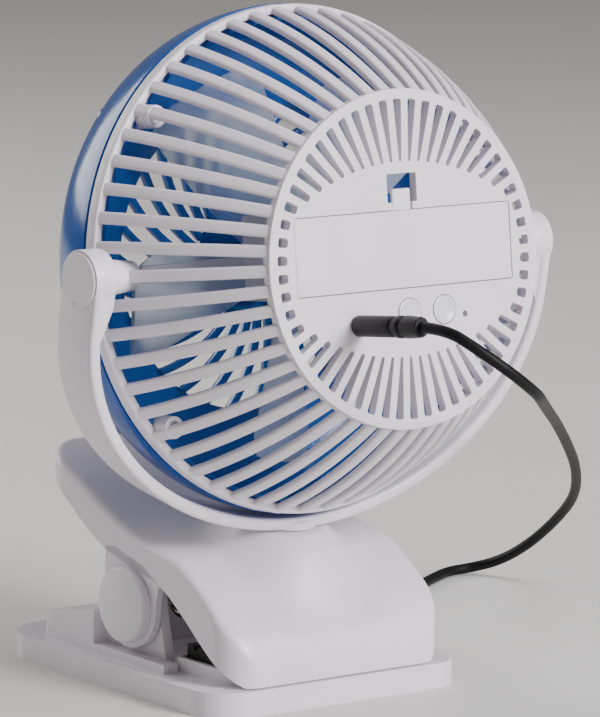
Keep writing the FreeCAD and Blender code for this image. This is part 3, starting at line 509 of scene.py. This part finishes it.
for piece in (makeRibs(), makePlate(), makeRim(), makeBosses()):
    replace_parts(piece, "rear_grille")
print("rear cage made")


# front shell

front = {
    "face": -37.4, "opening": 45.0, "hub": 17.0,
    "bars": 30, "barWide": 2.2, "barTop": -34.5, "barStart": 15.5, "barReach": 42.5, "sweep": 38,
}


def makeFrontShell():
    bm = bmesh.new()
    opening = front["opening"]
    outside = smoothLine([(75.4, -10.8), (75.3, -14.0), (74.4, -20.0), (72.3, -26.5),
                          (69.0, -32.0), (63.5, -36.2), (57.0, -37.4)], 5)
    inside = smoothLine([(57.0, -34.6), (62.2, -33.6), (67.0, -30.4), (70.2, -25.6),
                         (72.3, -19.6), (73.2, -14.0), (73.4, -10.8)], 5)
    edge = [(opening + 0.9, -37.4), (opening + 0.2, -37.0), (opening, -36.3),
            (opening, -35.2), (opening + 0.3, -34.7), (opening + 0.9, -34.5)]
    lathe(bm, outside + edge + inside, 180)
    lathe(bm, rounded([(70.6, -7.0), (72.1, -7.0), (72.1, -10.8), (73.8, -12.2), (70.6, -12.6)], 0.4, 2), 160)
    hub = front["hub"]
    lathe(bm, [(0, -37.4), (hub - 0.6, -37.4), (hub, -36.8), (hub, -35.0), (hub - 0.6, -34.4), (0, -34.4)], 96)
    for angle in cage["screwAngles"]:
        turn = Matrix.Rotation(math.radians(-angle), 4, "Y") @ Matrix.Translation((69.3, 0, 0))
        lathe(bm, [(0, -27.0), (3.3, -27.0), (3.3, -11.2), (2.9, -10.8), (0, -10.8)], 28, turn)
    return finish("frontShell", bm, headPlace, blueStyrene, "head")


def makeFrontBars():
    bm = bmesh.new()
    half, top, low = front["barWide"] / 2, front["barTop"], front["face"] + 0.2
    reach, sweep = front["barReach"], math.radians(front["sweep"])
    section = rounded([(-half, low), (half, low), (half, top), (-half, top)], 0.6, 2)
    rings = []
    stations = 12
    for i in range(stations):
        t = i / (stations - 1) * 0.72       # the bar's hidden outer end lies in the shell's wide face
        radius, angle = front["barStart"] + t * reach, sweep * t ** 0.85
        slope = sweep * 0.85 * max(t, 0.05) ** -0.15 * radius / reach
        out = Vector((math.cos(angle), 0, math.sin(angle)))
        side = Vector((-math.sin(angle), 0, math.cos(angle)))
        normal = (side - out * slope).normalized()
        rings.append([tuple(out * radius + normal * w + Vector((0, y, 0))) for w, y in section])
    loft(bm, rings)
    return ringOf("frontBars", bm, front["bars"], headPlace, blueStyrene, "head")


def makeBadge():
    bm = bmesh.new()
    lathe(bm, [(0, -38.7), (11.0, -38.7), (13.6, -38.5), (14.3, -38.0), (14.4, -37.42), (0, -37.42)], 96)
    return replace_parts(finish("frontBadge", bm, headPlace, mouldedAbs, "head"), "front_badge")


for piece in (makeFrontShell(), makeFrontBars()):
    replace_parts(piece, "front_grille")
makeBadge()
print("front shell made")


# rotor

rotor = {
    "blades": 5, "root": 12.0, "tip": 60.0, "middle": -13.5, "hub": 13.0,
    "thick": 1.5, "camber": 2.2, "rootWide": 22, "wider": 22, "rootTilt": 36, "untwist": 15, "wrap": 0.85,
}


def makeBlades():
    bm = bmesh.new()
    stations, chordPoints = 11, 13
    rings = []
    for i in range(stations):
        t = i / (stations - 1)
        radius = rotor["root"] + (rotor["tip"] - rotor["root"]) * t
        wide = rotor["rootWide"] + rotor["wider"] * t ** 0.8
        wide *= 1.0 if t < 0.9 else 1.0 - 0.22 * ((t - 0.9) / 0.1) ** 2
        tilt = math.radians(rotor["rootTilt"] - rotor["untwist"] * t)
        upper, lower = [], []
        for k in range(chordPoints):
            s = -1 + 2 * k / (chordPoints - 1)
            thick = rotor["thick"] * (0.35 + 0.65 * (1 - s ** 4)) / 2
            camber = rotor["camber"] * (1 - s ** 2)
            along = s * wide / 2
            for line, lift in ((upper, thick), (lower, -thick)):
                z = along * math.cos(tilt) - (camber + lift) * math.sin(tilt)
                y = along * math.sin(tilt) + (camber + lift) * math.cos(tilt)
                bend = z / radius * rotor["wrap"]
                line.append((radius * math.cos(bend), rotor["middle"] + y, radius * math.sin(bend)))
        rings.append(upper + lower[::-1])
    loft(bm, rings)
    return ringOf("fanBlades", bm, rotor["blades"], headPlace, milkyPp, "rotor", 12.0, 50)


def makeHub():
    bm = bmesh.new()
    near, far, hub = rotor["middle"] - 7.5, rotor["middle"] + 7.0, rotor["hub"]
    lathe(bm, [(1.2, near), (hub - 2.2, near), (hub - 0.7, near + 0.6), (hub, near + 2.2), (hub, far),
               (hub - 1.6, far), (hub - 1.6, near + 1.8), (3.2, near + 1.8), (3.2, far), (1.2, far)], 72)
    return finish("fanHub", bm, headPlace, milkyPp, "rotor")


for piece in (makeBlades(), makeHub()):
    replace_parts(piece, "fan_blade")
copied("bladeCap", "blade_cap", milkyPp, "rotor", 0)
paint(zincSteel, "motor_shaft")
print("rotor made")


# motor, battery and board

def makeMotor():
    bm = bmesh.new()
    lathe(bm, [(1.2, -3.4), (3.2, -3.4), (3.5, -3.1), (3.5, -2.0), (12.4, -2.0), (13.3, -1.7),
               (13.8, -0.8), (13.8, 16.3), (13.4, 17.2), (12.6, 17.5), (1.2, 17.5)], 72)
    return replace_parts(finish("motorCan", bm, headPlace, canSteel, "head"), "motor_can")


def makeMotorMount():
    bm = bmesh.new()
    cup = [(14.0, -0.5), (16.0, -0.5), (16.0, 18.76), (1.5, 18.76), (1.5, 17.56), (14.0, 17.56)]
    lathe(bm, rounded(cup, 0.6, 2), 72)
    for side in (-1, 1):
        outline = rounded([(side * 15.0, -2.5), (side * 65.6, -2.5), (side * 65.6, 2.5), (side * 15.0, 2.5)], 0.5, 2)
        prism(bm, outline, 0.0, 4.0)
        wedge = [(side * 15.4, 4.0), (side * 30.0, 4.0), (side * 15.4, 12.0)]
        prism(bm, wedge, -0.8, 0.8, "z")
    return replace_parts(finish("motorMount", bm, headPlace, greyAbs, "head"), "motor_mount")


def tube(name, points, radius, stuff, place, body, sides=10):
    bm = bmesh.new()
    line = [Vector(p) for p in smoothLine(points, 8)]
    rings = []
    for i, here in enumerate(line):
        way = (line[min(i + 1, len(line) - 1)] - line[max(i - 1, 0)]).normalized()
        side = way.cross(Vector((0.13, 0.21, 0.97))).normalized()
        other = way.cross(side)
        rings.append([tuple(here + side * (radius * math.cos(a)) + other * (radius * math.sin(a)))
                      for a in [2 * math.pi * k / sides for k in range(sides)]])
    loft(bm, rings)
    return finish(name, bm, place, stuff, body, 60)


makeMotor()
makeMotorMount()
for i, (start, end) in enumerate(((5.0, -9.0), (8.5, -12.0))):
    route = [(start, 18.5 - 2.0 * i, -17.0), (start + 4, 22, -21.0), (start + 2, 29, -22.5 + i), (end, 33.0, -20.0)]
    tube(f"motorWire{i + 1}", route, 0.7, wireSheath, headPlace, "head")
copied("batteryTray", "battery_tray", greyAbs, "head", 0.3)
copied("batteryDoor", "battery_door", mouldedAbs, "battery_door", 0.35, 3)
copied("dcJack", "charging_jack", pvcMould, "head", 0.2)
paint(cellSleeve, "battery_cell")
paint(nickelPlate, "battery_contacts", "plug_tip")
paint(solderMask, "circuit_board")
paint(pvcMould, "switches")
paint(clearPipe, "status_led")
paint(zincSteel, "board_screws", "grille_screws", "pivot_screws", "swivel_screw", "swivel_washer",
      "hinge_pin", "cover_screws")


def makeButton(node, x, z):
    bm = bmesh.new()
    face = cage["face"] + 0.35
    turn = Matrix.Translation((x, 0, z))
    lathe(bm, [(0, 37.9), (1.5, 37.9), (1.5, 38.8), (5.1, 38.8), (5.1, 39.6), (4.2, 39.6), (4.2, face - 0.5),
               (4.05, face - 0.12), (3.7, face), (3.3, face - 0.02), (2.9, face - 0.22), (0, face - 0.3)], 48, turn)
    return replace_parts(finish(node.replace("_b", "B"), bm, headPlace, whiteButton, node), node)


for node, (x, z) in buttonsAt.items():
    makeButton(node, x, z)
print("motor, battery and board made")


# yoke

yoke = {"span": 84.6, "drop": 14.0, "radius": 81.5, "thick": 3.8, "wide": 17.4}


def makeYoke():
    bm = bmesh.new()
    half, thick = yoke["wide"] / 2, yoke["thick"]
    section = rounded([(-half, 0), (half, 0), (half, -thick), (-half, -thick)], 1.3, 3)
    span, drop, radius = yoke["span"], yoke["drop"], yoke["radius"]
    line = [(span, -2.0 - 3.0 * i) for i in range(4)]
    for i in range(65):
        a = math.pi * i / 64
        line.append((span * math.cos(a), -drop - (radius - drop) * math.sin(a)))
    line += [(-span, -11.0 + 3.0 * i) for i in range(4)]
    rings = []
    for i, (x, z) in enumerate(line):
        before, after = Vector(line[max(i - 1, 0)]), Vector(line[min(i + 1, len(line) - 1)])
        way = (after - before).normalized()
        out = Vector((-way.y, way.x))
        out = -out if out.dot(Vector((x, z))) < 0 else out
        rings.append([(x + out.x * d, w, z + out.y * d) for w, d in section])
    loft(bm, rings)
    return finish("yokeBand", bm, yokePlace, mouldedAbs, "yoke", 40)


def makeYokeEnds():
    bm = bmesh.new()
    for side in (-1, 1):
        lathe(bm, [(r, side * x) for r, x in rounded(
            [(2.6, 77.4), (8.7, 77.4), (8.7, 84.6), (8.15, 84.6), (8.15, 83.9), (2.6, 83.9)], 0.5, 2)], 64, alongX)
        outline = [(side * 77.5, 0.0), (side * 77.5, -6.5), (side * 80.9, -17.0),
                   (side * 84.2, -17.0), (side * 84.2, 0.0)]
        prism(bm, rounded(outline, 0.8, 3), -8.1, 8.1)
    return finish("yokeEnds", bm, yokePlace, mouldedAbs, "yoke", 40)


def makeYokeFoot():
    bm = bmesh.new()
    low = -yoke["radius"]
    profile = [(0, low + 3), (9.4, low + 2.6), (10.0, low + 2.0), (10.0, low + 0.3), (9.7, low),
               (6.0, low), (6.0, low - 14.1), (5.7, low - 14.4), (0, low - 14.5)]
    lathe(bm, profile, 64, alongZ)
    return finish("yokeFoot", bm, yokePlace, mouldedAbs, "yoke", 40)


def makeArmCaps():
    bm = bmesh.new()
    rim = [(8.0 * math.cos(math.radians(a)), 8.0 * math.sin(math.radians(a))) for a in range(-80, 261, 5)]
    notch = [(-1.3, -6.4), (1.3, -6.4)]      # where a blade lifts the cap off
    for side in (-1, 1):
        prism(bm, rim + notch, side * 84.0, side * 85.2, "x")
    piece = finish("armCaps", bm, yokePlace, mouldedAbs, "yoke", 40)
    soften(piece, 0.3, 2, 40)
    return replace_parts(piece, "arm_caps")


for piece in (makeYoke(), makeYokeEnds(), makeYokeFoot()):
    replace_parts(piece, "yoke")
makeArmCaps()
print("yoke made")


# clip

jaw = {
    "half": 40.5, "wall": 2.6, "front": 55.2, "rear": -45.5, "frontRound": 11.0, "rearRound": 14.0, "edge": 2.4,
    "seatRadius": 12.5, "hillReach": 14.5, "seatGap": 0.3,
}
jawTop = [(-45.5, 67.2), (-23.5, 58.0), (-4.8, 49.3), (8.0, 45.0), (18.0, 43.3), (28.0, 40.6),
          (41.4, 32.6), (50.4, 24.6), (54.3, 18.6), (55.2, 15.0)]
jawUnder = [(-45.5, 63.0), (-31.0, 52.2), (-19.2, 44.6), (-8.5, 39.2), (17.0, 33.4),
            (28.3, 27.1), (38.8, 19.3), (49.0, 12.3), (54.0, 8.1)]
jawTopLine = smoothLine(jawTop, 8)
jawUnderLine = smoothLine(jawUnder, 6)


def heightOn(line, y):
    for (y0, z0), (y1, z1) in zip(line, line[1:]):
        if y0 <= y <= y1:
            return z0 + (z1 - z0) * (y - y0) / max(y1 - y0, 1e-6)
    return line[0][1] if y < line[0][0] else line[-1][1]


def planOutline(half, rear, front, rearRound, frontRound, count=16):
    made = []
    corners = [(half, front, frontRound, 0), (-half, front, frontRound, 90),
               (-half, rear, rearRound, 180), (half, rear, rearRound, 270)]
    for x, y, radius, start in corners:
        cx, cy = x - math.copysign(radius, x), y - math.copysign(radius, y)
        for k in range(count + 1):
            a = math.radians(start + 90 * k / count)
            made.append((cx + radius * math.cos(a), cy + radius * math.sin(a)))
    return made


def spaced(outline, step):
    # the closed outline with points no further apart than step
    made = []
    for a, b in zip(outline, outline[1:] + outline[:1]):
        a, b = Vector(a), Vector(b)
        count = max(1, int((b - a).length / step))
        made += [tuple(a.lerp(b, k / count)) for k in range(count)]
    return made


def makeJaw():
    seat = pivot / mm - swivelAxis * (yoke["radius"] + jaw["seatGap"])
    centre = Vector((seat.x, seat.y))
    outline = spaced(planOutline(jaw["half"], jaw["rear"], jaw["front"], jaw["rearRound"], jaw["frontRound"]), 3.0)

    def surface(x, y):
        # height of the jaw's top at a plan point, with the hill up to the yoke's seat
        skin = heightOn(jawTopLine, y)
        away = (Vector((x, y)) - centre).length
        t = min(max((jaw["seatRadius"] + jaw["hillReach"] - away) / jaw["hillReach"], 0), 1)
        lift = t * t * (3 - 2 * t)
        lift = lift * 0.55 + 0.45 * t ** 2.2
        flat = seat.z - (y - seat.y) * swivelAxis.y / swivelAxis.z
        return skin + (flat - skin) * lift

    rings = []
    edge = jaw["edge"]
    lowRing = []
    for x, y in outline:
        top = heightOn(jawTopLine, y) - edge
        under = min(heightOn(jawUnderLine, y), top - 1.2)
        lowRing.append((x, y, under))
    rings.append(lowRing)
    for share in (0.25, 0.5, 0.75):
        rings.append([(x, y, z + (max(heightOn(jawTopLine, y) - edge, z) - z) * share) for x, y, z in lowRing])
    inward = []
    count = len(outline)
    for i, (x, y) in enumerate(outline):
        way = (Vector(outline[(i + 1) % count]) - Vector(outline[i - 1])).normalized()
        inward.append(Vector((-way.y, way.x)))
    for k in range(5):
        a = math.radians(90 * k / 4)
        ring = []
        for (x, y), side in zip(outline, inward):
            px, py = x + side.x * edge * (1 - math.cos(a)), y + side.y * edge * (1 - math.cos(a))
            outerTop, innerTop = heightOn(jawTopLine, y), heightOn(jawTopLine, py)
            ring.append((px, py, outerTop - edge + (innerTop - outerTop) * math.sin(a) + edge * math.sin(a)))
        rings.append(ring)
    start = rings[-1]
    steps = 22
    for k in range(1, steps + 1):
        u = k / steps
        ring = []
        for (x, y, z) in start:
            here = Vector((x, y)) - centre
            goal = here.normalized() * jaw["seatRadius"]
            spot = centre + here.lerp(goal, u ** 0.85)
            ring.append((spot.x, spot.y, surface(spot.x, spot.y)))
        rings.append(ring)
    for radius, drop in ((11.9, 0), (6.9, 0), (6.5, 0.4), (6.5, 10.0)):
        ring = []
        for (x, y, z) in rings[-1]:
            way = (Vector((x, y)) - centre).normalized()
            px, py = centre + way * radius
            flat = seat.z - (py - seat.y) * swivelAxis.y / swivelAxis.z
            ring.append((px, py, flat - drop))
        rings.append(ring)
    bm = bmesh.new()
    made = [[bm.verts.new(p) for p in ring] for ring in rings]
    for a, b in zip(made, made[1:]):
        for i in range(count):
            j = (i + 1) % count
            bm.faces.new((a[i], a[j], b[j], b[i]))
    piece = finish("upperJaw", bm, toMetres, mouldedAbs, None, 50)
    skin = piece.modifiers.new("wall", "SOLIDIFY")
    skin.thickness = jaw["wall"] * mm
    skin.offset = -1
    skin.use_even_offset = True
    skin.thickness_clamp = 0
    bpy.context.view_layer.update()
    live = piece.evaluated_get(bpy.context.evaluated_depsgraph_get())
    mesh = bpy.data.meshes.new_from_object(live)
    bpy.data.objects.remove(piece)
    piece = asPiece("upperJaw", mesh, mouldedAbs, "jaw", 40)
    soften(piece, 0.4, 2, 55)
    return piece


def makeCheeks():
    # the ears on the hinge, and the plate and ribs that carry the upper pad
    bm = bmesh.new()
    for side in (-1, 1):
        outer, inner = side * jaw["half"], side * (jaw["half"] - jaw["wall"])
        lug = []
        for k in range(31):
            a = math.radians(200 + 150 * k / 30)
            lug.append((hinge.y + 13.2 * math.cos(a), hinge.z + 13.2 * math.sin(a)))
        web = lug + [(hinge.y + 13.5, 28.0), (18.0, 33.6), (10.0, 38.0), (-4.0, 41.5),
                     (hinge.y - 12.4, 41.0), (hinge.y - 12.8, 30.0)]
        prism(bm, web, inner, outer, "x")
    prism(bm, rounded([(-32.5, 33.5), (32.5, 33.5), (32.5, 49.0), (-32.5, 49.0)], 3.0, 4), 18.9, 20.5, "z")
    for x in (-27.0, 0.0, 27.0):
        top = [(34.5, 19.5), (48.5, 19.5), (48.5, 23.5), (34.5, 33.5)]
        prism(bm, top, x - 1, x + 1, "x")
    piece = finish("jawCheeks", bm, toMetres, mouldedAbs, "jaw", 35)
    soften(piece, 0.35, 2, 40)
    return piece


def makeHingeCaps():
    bm = bmesh.new()
    turn = Matrix.Translation((0, hinge.y, hinge.z)) @ alongX
    for side in (-1, 1):
        profile = [(0, 40.52), (11.1, 40.52), (11.4, 40.9), (11.4, 42.9), (11.1, 43.6), (10.4, 43.92), (0, 43.92)]
        lathe(bm, [(r, side * x) for r, x in profile], 72, turn)
    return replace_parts(finish("hingeCaps", bm, toMetres, mouldedAbs, "jaw"), "hinge_caps")


spring = {"wire": 1.1, "coil": 5.3, "turns": 6.4, "outerX": 22.9, "long": 12.9, "stepsPerTurn": 20, "sides": 10}


def makeSpring():
    # two wound sleeves on the pin, their legs, and the bow that presses the lever
    wire, coil, turns = spring["wire"], spring["coil"], spring["turns"]
    line = [Vector((23.4, -26.0, 19.3))]
    steps = int(turns * spring["stepsPerTurn"])
    for k in range(steps + 1):
        a = math.radians(200) - 2 * math.pi * turns * k / steps
        x = spring["outerX"] - spring["long"] * k / steps
        line.append(Vector((x, hinge.y + coil * math.cos(a), hinge.z + coil * math.sin(a))))
    line.append(Vector((10.0, -20.0, 51.2)))
    line = line + [Vector((-p.x, p.y, p.z)) for p in reversed(line)]
    bm = bmesh.new()
    rings = []
    sides = spring["sides"]
    for i, here in enumerate(line):
        before, after = line[max(i - 1, 0)], line[min(i + 1, len(line) - 1)]
        way = (after - before).normalized()
        side = Vector((1, 0.02, 0.03)) - way * way.x
        side = Vector((0, 1, 0)) - way * way.y if side.length < 0.3 else side
        side.normalize()
        other = way.cross(side)
        rings.append([tuple(here + side * (wire * math.cos(a)) + other * (wire * math.sin(a)))
                      for a in [2 * math.pi * k / sides for k in range(sides)]])
    loft(bm, rings)
    piece = finish("clampSpring", bm, toMetres, springWire, None, 60)
    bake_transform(piece)
    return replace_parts(piece, "clamp_spring")


for piece in (makeJaw(), makeCheeks()):
    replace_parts(piece, "upper_jaw")
makeHingeCaps()
makeSpring()
copied("baseShell", "base_shell", mouldedAbs, "base", 0.9, 3)
copied("lowerJawPad", "lower_jaw_pad", padRubber, "base", 0.4)
copied("upperJawPad", "upper_jaw_pad", padRubber, "jaw", 0.4)
paint(mouldedAbs, "base_cover")
paint(padRubber, "base_pad")
print("clip made")


# the charging plug, the lead and the far plug

def makePlug():
    turn = Matrix.Translation((plugX, 0, plugZ))
    bm = bmesh.new()
    lathe(bm, [(1.8, 43.1), (2.8, 43.1), (3.1, 43.5), (3.1, 58.9), (2.9, 59.4), (2.5, 59.6), (2.5, 61.0),
               (1.8, 61.0)], 40, turn)
    grip = finish("plugGrip", bm, headPlace, pvcMould, "head")
    bm = bmesh.new()
    lathe(bm, [(0, 61.02), (2.9, 61.02), (3.25, 61.4), (3.25, 63.1), (2.9, 63.5), (2.6, 63.6), (2.6, 64.9),
               (3.0, 65.1), (3.3, 65.5), (3.25, 67.5), (2.95, 71.3), (2.5, 71.8), (0, 71.8)], 40, turn)
    relief = finish("plugSleeve", bm, headPlace, pvcMould, "head")
    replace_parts(grip, "plug_grip")
    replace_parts(relief, "plug_relief")
    return grip, relief


plugPieces = makePlug()
usbGrip = copied("usbGrip", "usb_grip", pvcMould, "base", 0.5)
usbShell = copied("usbShell", "usb_shell", nickelPlate, "base", 0.15)

lead = {
    "thick": 3.3, "upper": 0.1034, "middle": 0.1099, "lower": 0.7490,
    "coilX": -82.0, "coilY": -71.5, "coilRadius": 16.5, "coilTurns": 4, "stepsPerTurn": 16,
}
upperRoute = [
    (18.5, 111.45, 121.55), (18.4, 122.2, 122.2), (15.1, 130.2, 118.2), (5.5, 135.4, 110.8),
    (-6.0, 132.8, 103.6), (-17.2, 121.5, 99.3), (-33.3, 104.3, 93.6), (-43.8, 93.4, 89.7),
]
middleRoute = [
    (-43.8, 93.4, 89.7), (-54.4, 82.4, 85.7), (-77.8, 58.1, 77.2), (-105.2, 32.1, 63.6),
    (-117.6, 20.2, 56.5),
]
lowerRoute = [
    (-117.6, 20.2, 56.5), (-129.9, 8.3, 49.2), (-148.4, -13.7, 35.4), (-155.8, -31.7, 23.6),
    (-157.3, -46.3, 13.2), (-155.8, -59.0, 5.6), (-150.5, -67.8, 2.2), (-141.5, -69.0, 1.8),
    (-129.0, -62.0, 1.8), (-116.0, -54.0, 1.8), (-102.0, -51.5, 2.2), (-89.5, -57.0, 4.2),
]
tailRoute = [
    (-106.0, -78.0, 1.8), (-120.0, -81.0, 1.8), (-129.0, -93.0, 1.8), (-127.0, -107.0, 2.2),
    (-117.5, -115.3, 3.2), (-107.85, -118.04, 4.2),
]


def coilRoute():
    # the put-away length in turns beside and on each other, three below and two above
    first, last, turns = 85.0, -137.5, lead["coilTurns"]
    places = [(-3.4, 1.75), (0.0, 1.75), (3.4, 1.75), (1.75, 4.8), (-1.75, 4.8), (-1.75, 4.8)]
    sweep = first - last + 360 * turns
    count = int(sweep / 360 * lead["stepsPerTurn"])
    made = []
    for k in range(count + 1):
        done = sweep * k / count
        turn = min(int(done // 360), 4)
        part = min(max((done - 360 * turn - 250) / 110, 0), 1)
        part = part * part * (3 - 2 * part)
        (r0, z0), (r1, z1) = places[turn], places[turn + 1]
        radius, z = lead["coilRadius"] + r0 + (r1 - r0) * part, z0 + (z1 - z0) * part
        a = math.radians(first - done)
        made.append((lead["coilX"] + radius * math.cos(a), lead["coilY"] + radius * math.sin(a), z))
    return made


def makeLead(name, route):
    data = bpy.data.curves.new(name, "CURVE")
    data.dimensions = "3D"
    data.bevel_depth = lead["thick"] / 2 * mm
    data.bevel_resolution = 5
    data.use_fill_caps = True
    data.resolution_u = 10
    line = data.splines.new("NURBS")
    line.points.add(len(route) - 1)
    for point, place in zip(line.points, route):
        point.co = [v * mm for v in place] + [1.0]
    line.order_u = 3
    line.use_endpoint_u = True
    data.materials.append(pvcJacket)
    piece = bpy.data.objects.new(name, data)
    bpy.context.scene.collection.objects.link(piece)
    return piece


def centreLine(piece):    # the points of the lead's own smooth line
    bare = piece.data.copy()
    bare.bevel_depth = 0
    probe = bpy.data.objects.new("probe", bare)
    bpy.context.scene.collection.objects.link(probe)
    bpy.context.view_layer.update()
    mesh = bpy.data.meshes.new_from_object(probe.evaluated_get(bpy.context.evaluated_depsgraph_get()))
    bpy.data.objects.remove(probe)
    return [v.co.copy() for v in mesh.vertices]


def meshLead(name, route):
    line = makeLead(name + "Line", route)
    path = centreLine(line)
    bpy.context.view_layer.update()
    mesh = bpy.data.meshes.new_from_object(line.evaluated_get(bpy.context.evaluated_depsgraph_get()))
    bpy.data.objects.remove(line)
    piece = asPiece(name, mesh, pvcJacket, None, 60)
    print(name, "length", round(sum((a - b).length for a, b in zip(path, path[1:])), 4))
    return piece, path


def makeTie():
    # a soft band round the coil's turns, so that they stay together
    bm = bmesh.new()
    angle = math.radians(35)
    out = Vector((math.cos(angle), math.sin(angle), 0))
    along = Vector((-out.y, out.x, 0))
    centre = Vector((lead["coilX"], lead["coilY"], 0)) + out * lead["coilRadius"]
    section = [(-6.0, 0.12), (6.0, 0.12), (6.6, 1.2), (5.4, 4.6), (3.8, 7.4), (-3.8, 7.4), (-5.4, 4.6), (-6.6, 1.2)]
    outline = rounded(section, 1.6, 3)
    middle = Vector((0, 3.3))
    rings = []
    for w, grow in ((-3.0, -0.55), (-2.8, 0), (2.8, 0), (3.0, -0.55)):
        ring = []
        for x, z in outline:
            spot = Vector((x, z))
            spot += (spot - middle).normalized() * grow
            ring.append(tuple(centre + out * spot.x + along * w + Vector((0, 0, max(spot.y, 0.1)))))
        rings.append(ring)
    loft(bm, rings)
    return finish("leadTie", bm, toMetres, padRubber, "base", 60)


upperLead, upperPath = meshLead("leadUpper", upperRoute)
middleLead, middlePath = meshLead("leadMiddle", middleRoute)
lowerLead, lowerPath = meshLead("leadLower", lowerRoute + coilRoute() + tailRoute)
leadTie = makeTie()
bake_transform(upperLead)
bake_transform(middleLead)
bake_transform(lowerLead)
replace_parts(upperLead, "lead_upper")
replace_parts(middleLead, "lead_middle")
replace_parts(lowerLead, "lead_lower", "lead_coil", "lead_tail")
print("lead made")


# floor and light

def makeStage():
    # painted board: matt and pale, with hardly any clouding
    floor = material("paleFloor", "DCDBD6", {"Roughness": 0.6}, None, (60, "D6D5CF"))
    bm = bmesh.new()
    half = 9.0      # metres
    bm.faces.new([bm.verts.new((x, y, 0)) for x, y in ((-half, -half), (half, -half), (half, half), (-half, half))])
    mesh = bpy.data.meshes.new("studioFloor")
    bm.to_mesh(mesh)
    bm.free()
    mesh.materials.append(floor)
    stage = bpy.data.objects.new("studioFloor", mesh)
    bpy.context.scene.collection.objects.link(stage)
    world = bpy.data.worlds.new("studio")
    world.use_nodes = True
    world.node_tree.nodes["Background"].inputs["Color"].default_value = linear("E8E2DA")
    world.node_tree.nodes["Background"].inputs["Strength"].default_value = 0.27
    bpy.context.scene.world = world
    lights = {
        "window": ((-0.6, 1.9, 1.0), 70.0, 0.7, "FBF9FF"),
        "above": ((-0.3, 0.5, 1.9), 14.0, 0.8, "F4F1FF"),
        "behind": ((0.45, -1.3, 0.7), 14.0, 0.9, "FFFFFF"),
    }
    for name, (place, power, size, colour) in lights.items():
        data = bpy.data.lights.new(name, "AREA")
        data.energy, data.size, data.color = power, size, linear(colour)[:3]
        light = bpy.data.objects.new(name, data)
        bpy.context.scene.collection.objects.link(light)
        aim = Vector((0, 0, 0.12)) - Vector(place)
        light.matrix_world = Matrix.Translation(place) @ aim.to_track_quat("-Z", "Y").to_matrix().to_4x4()


makeStage()
bpy.context.view_layer.update()
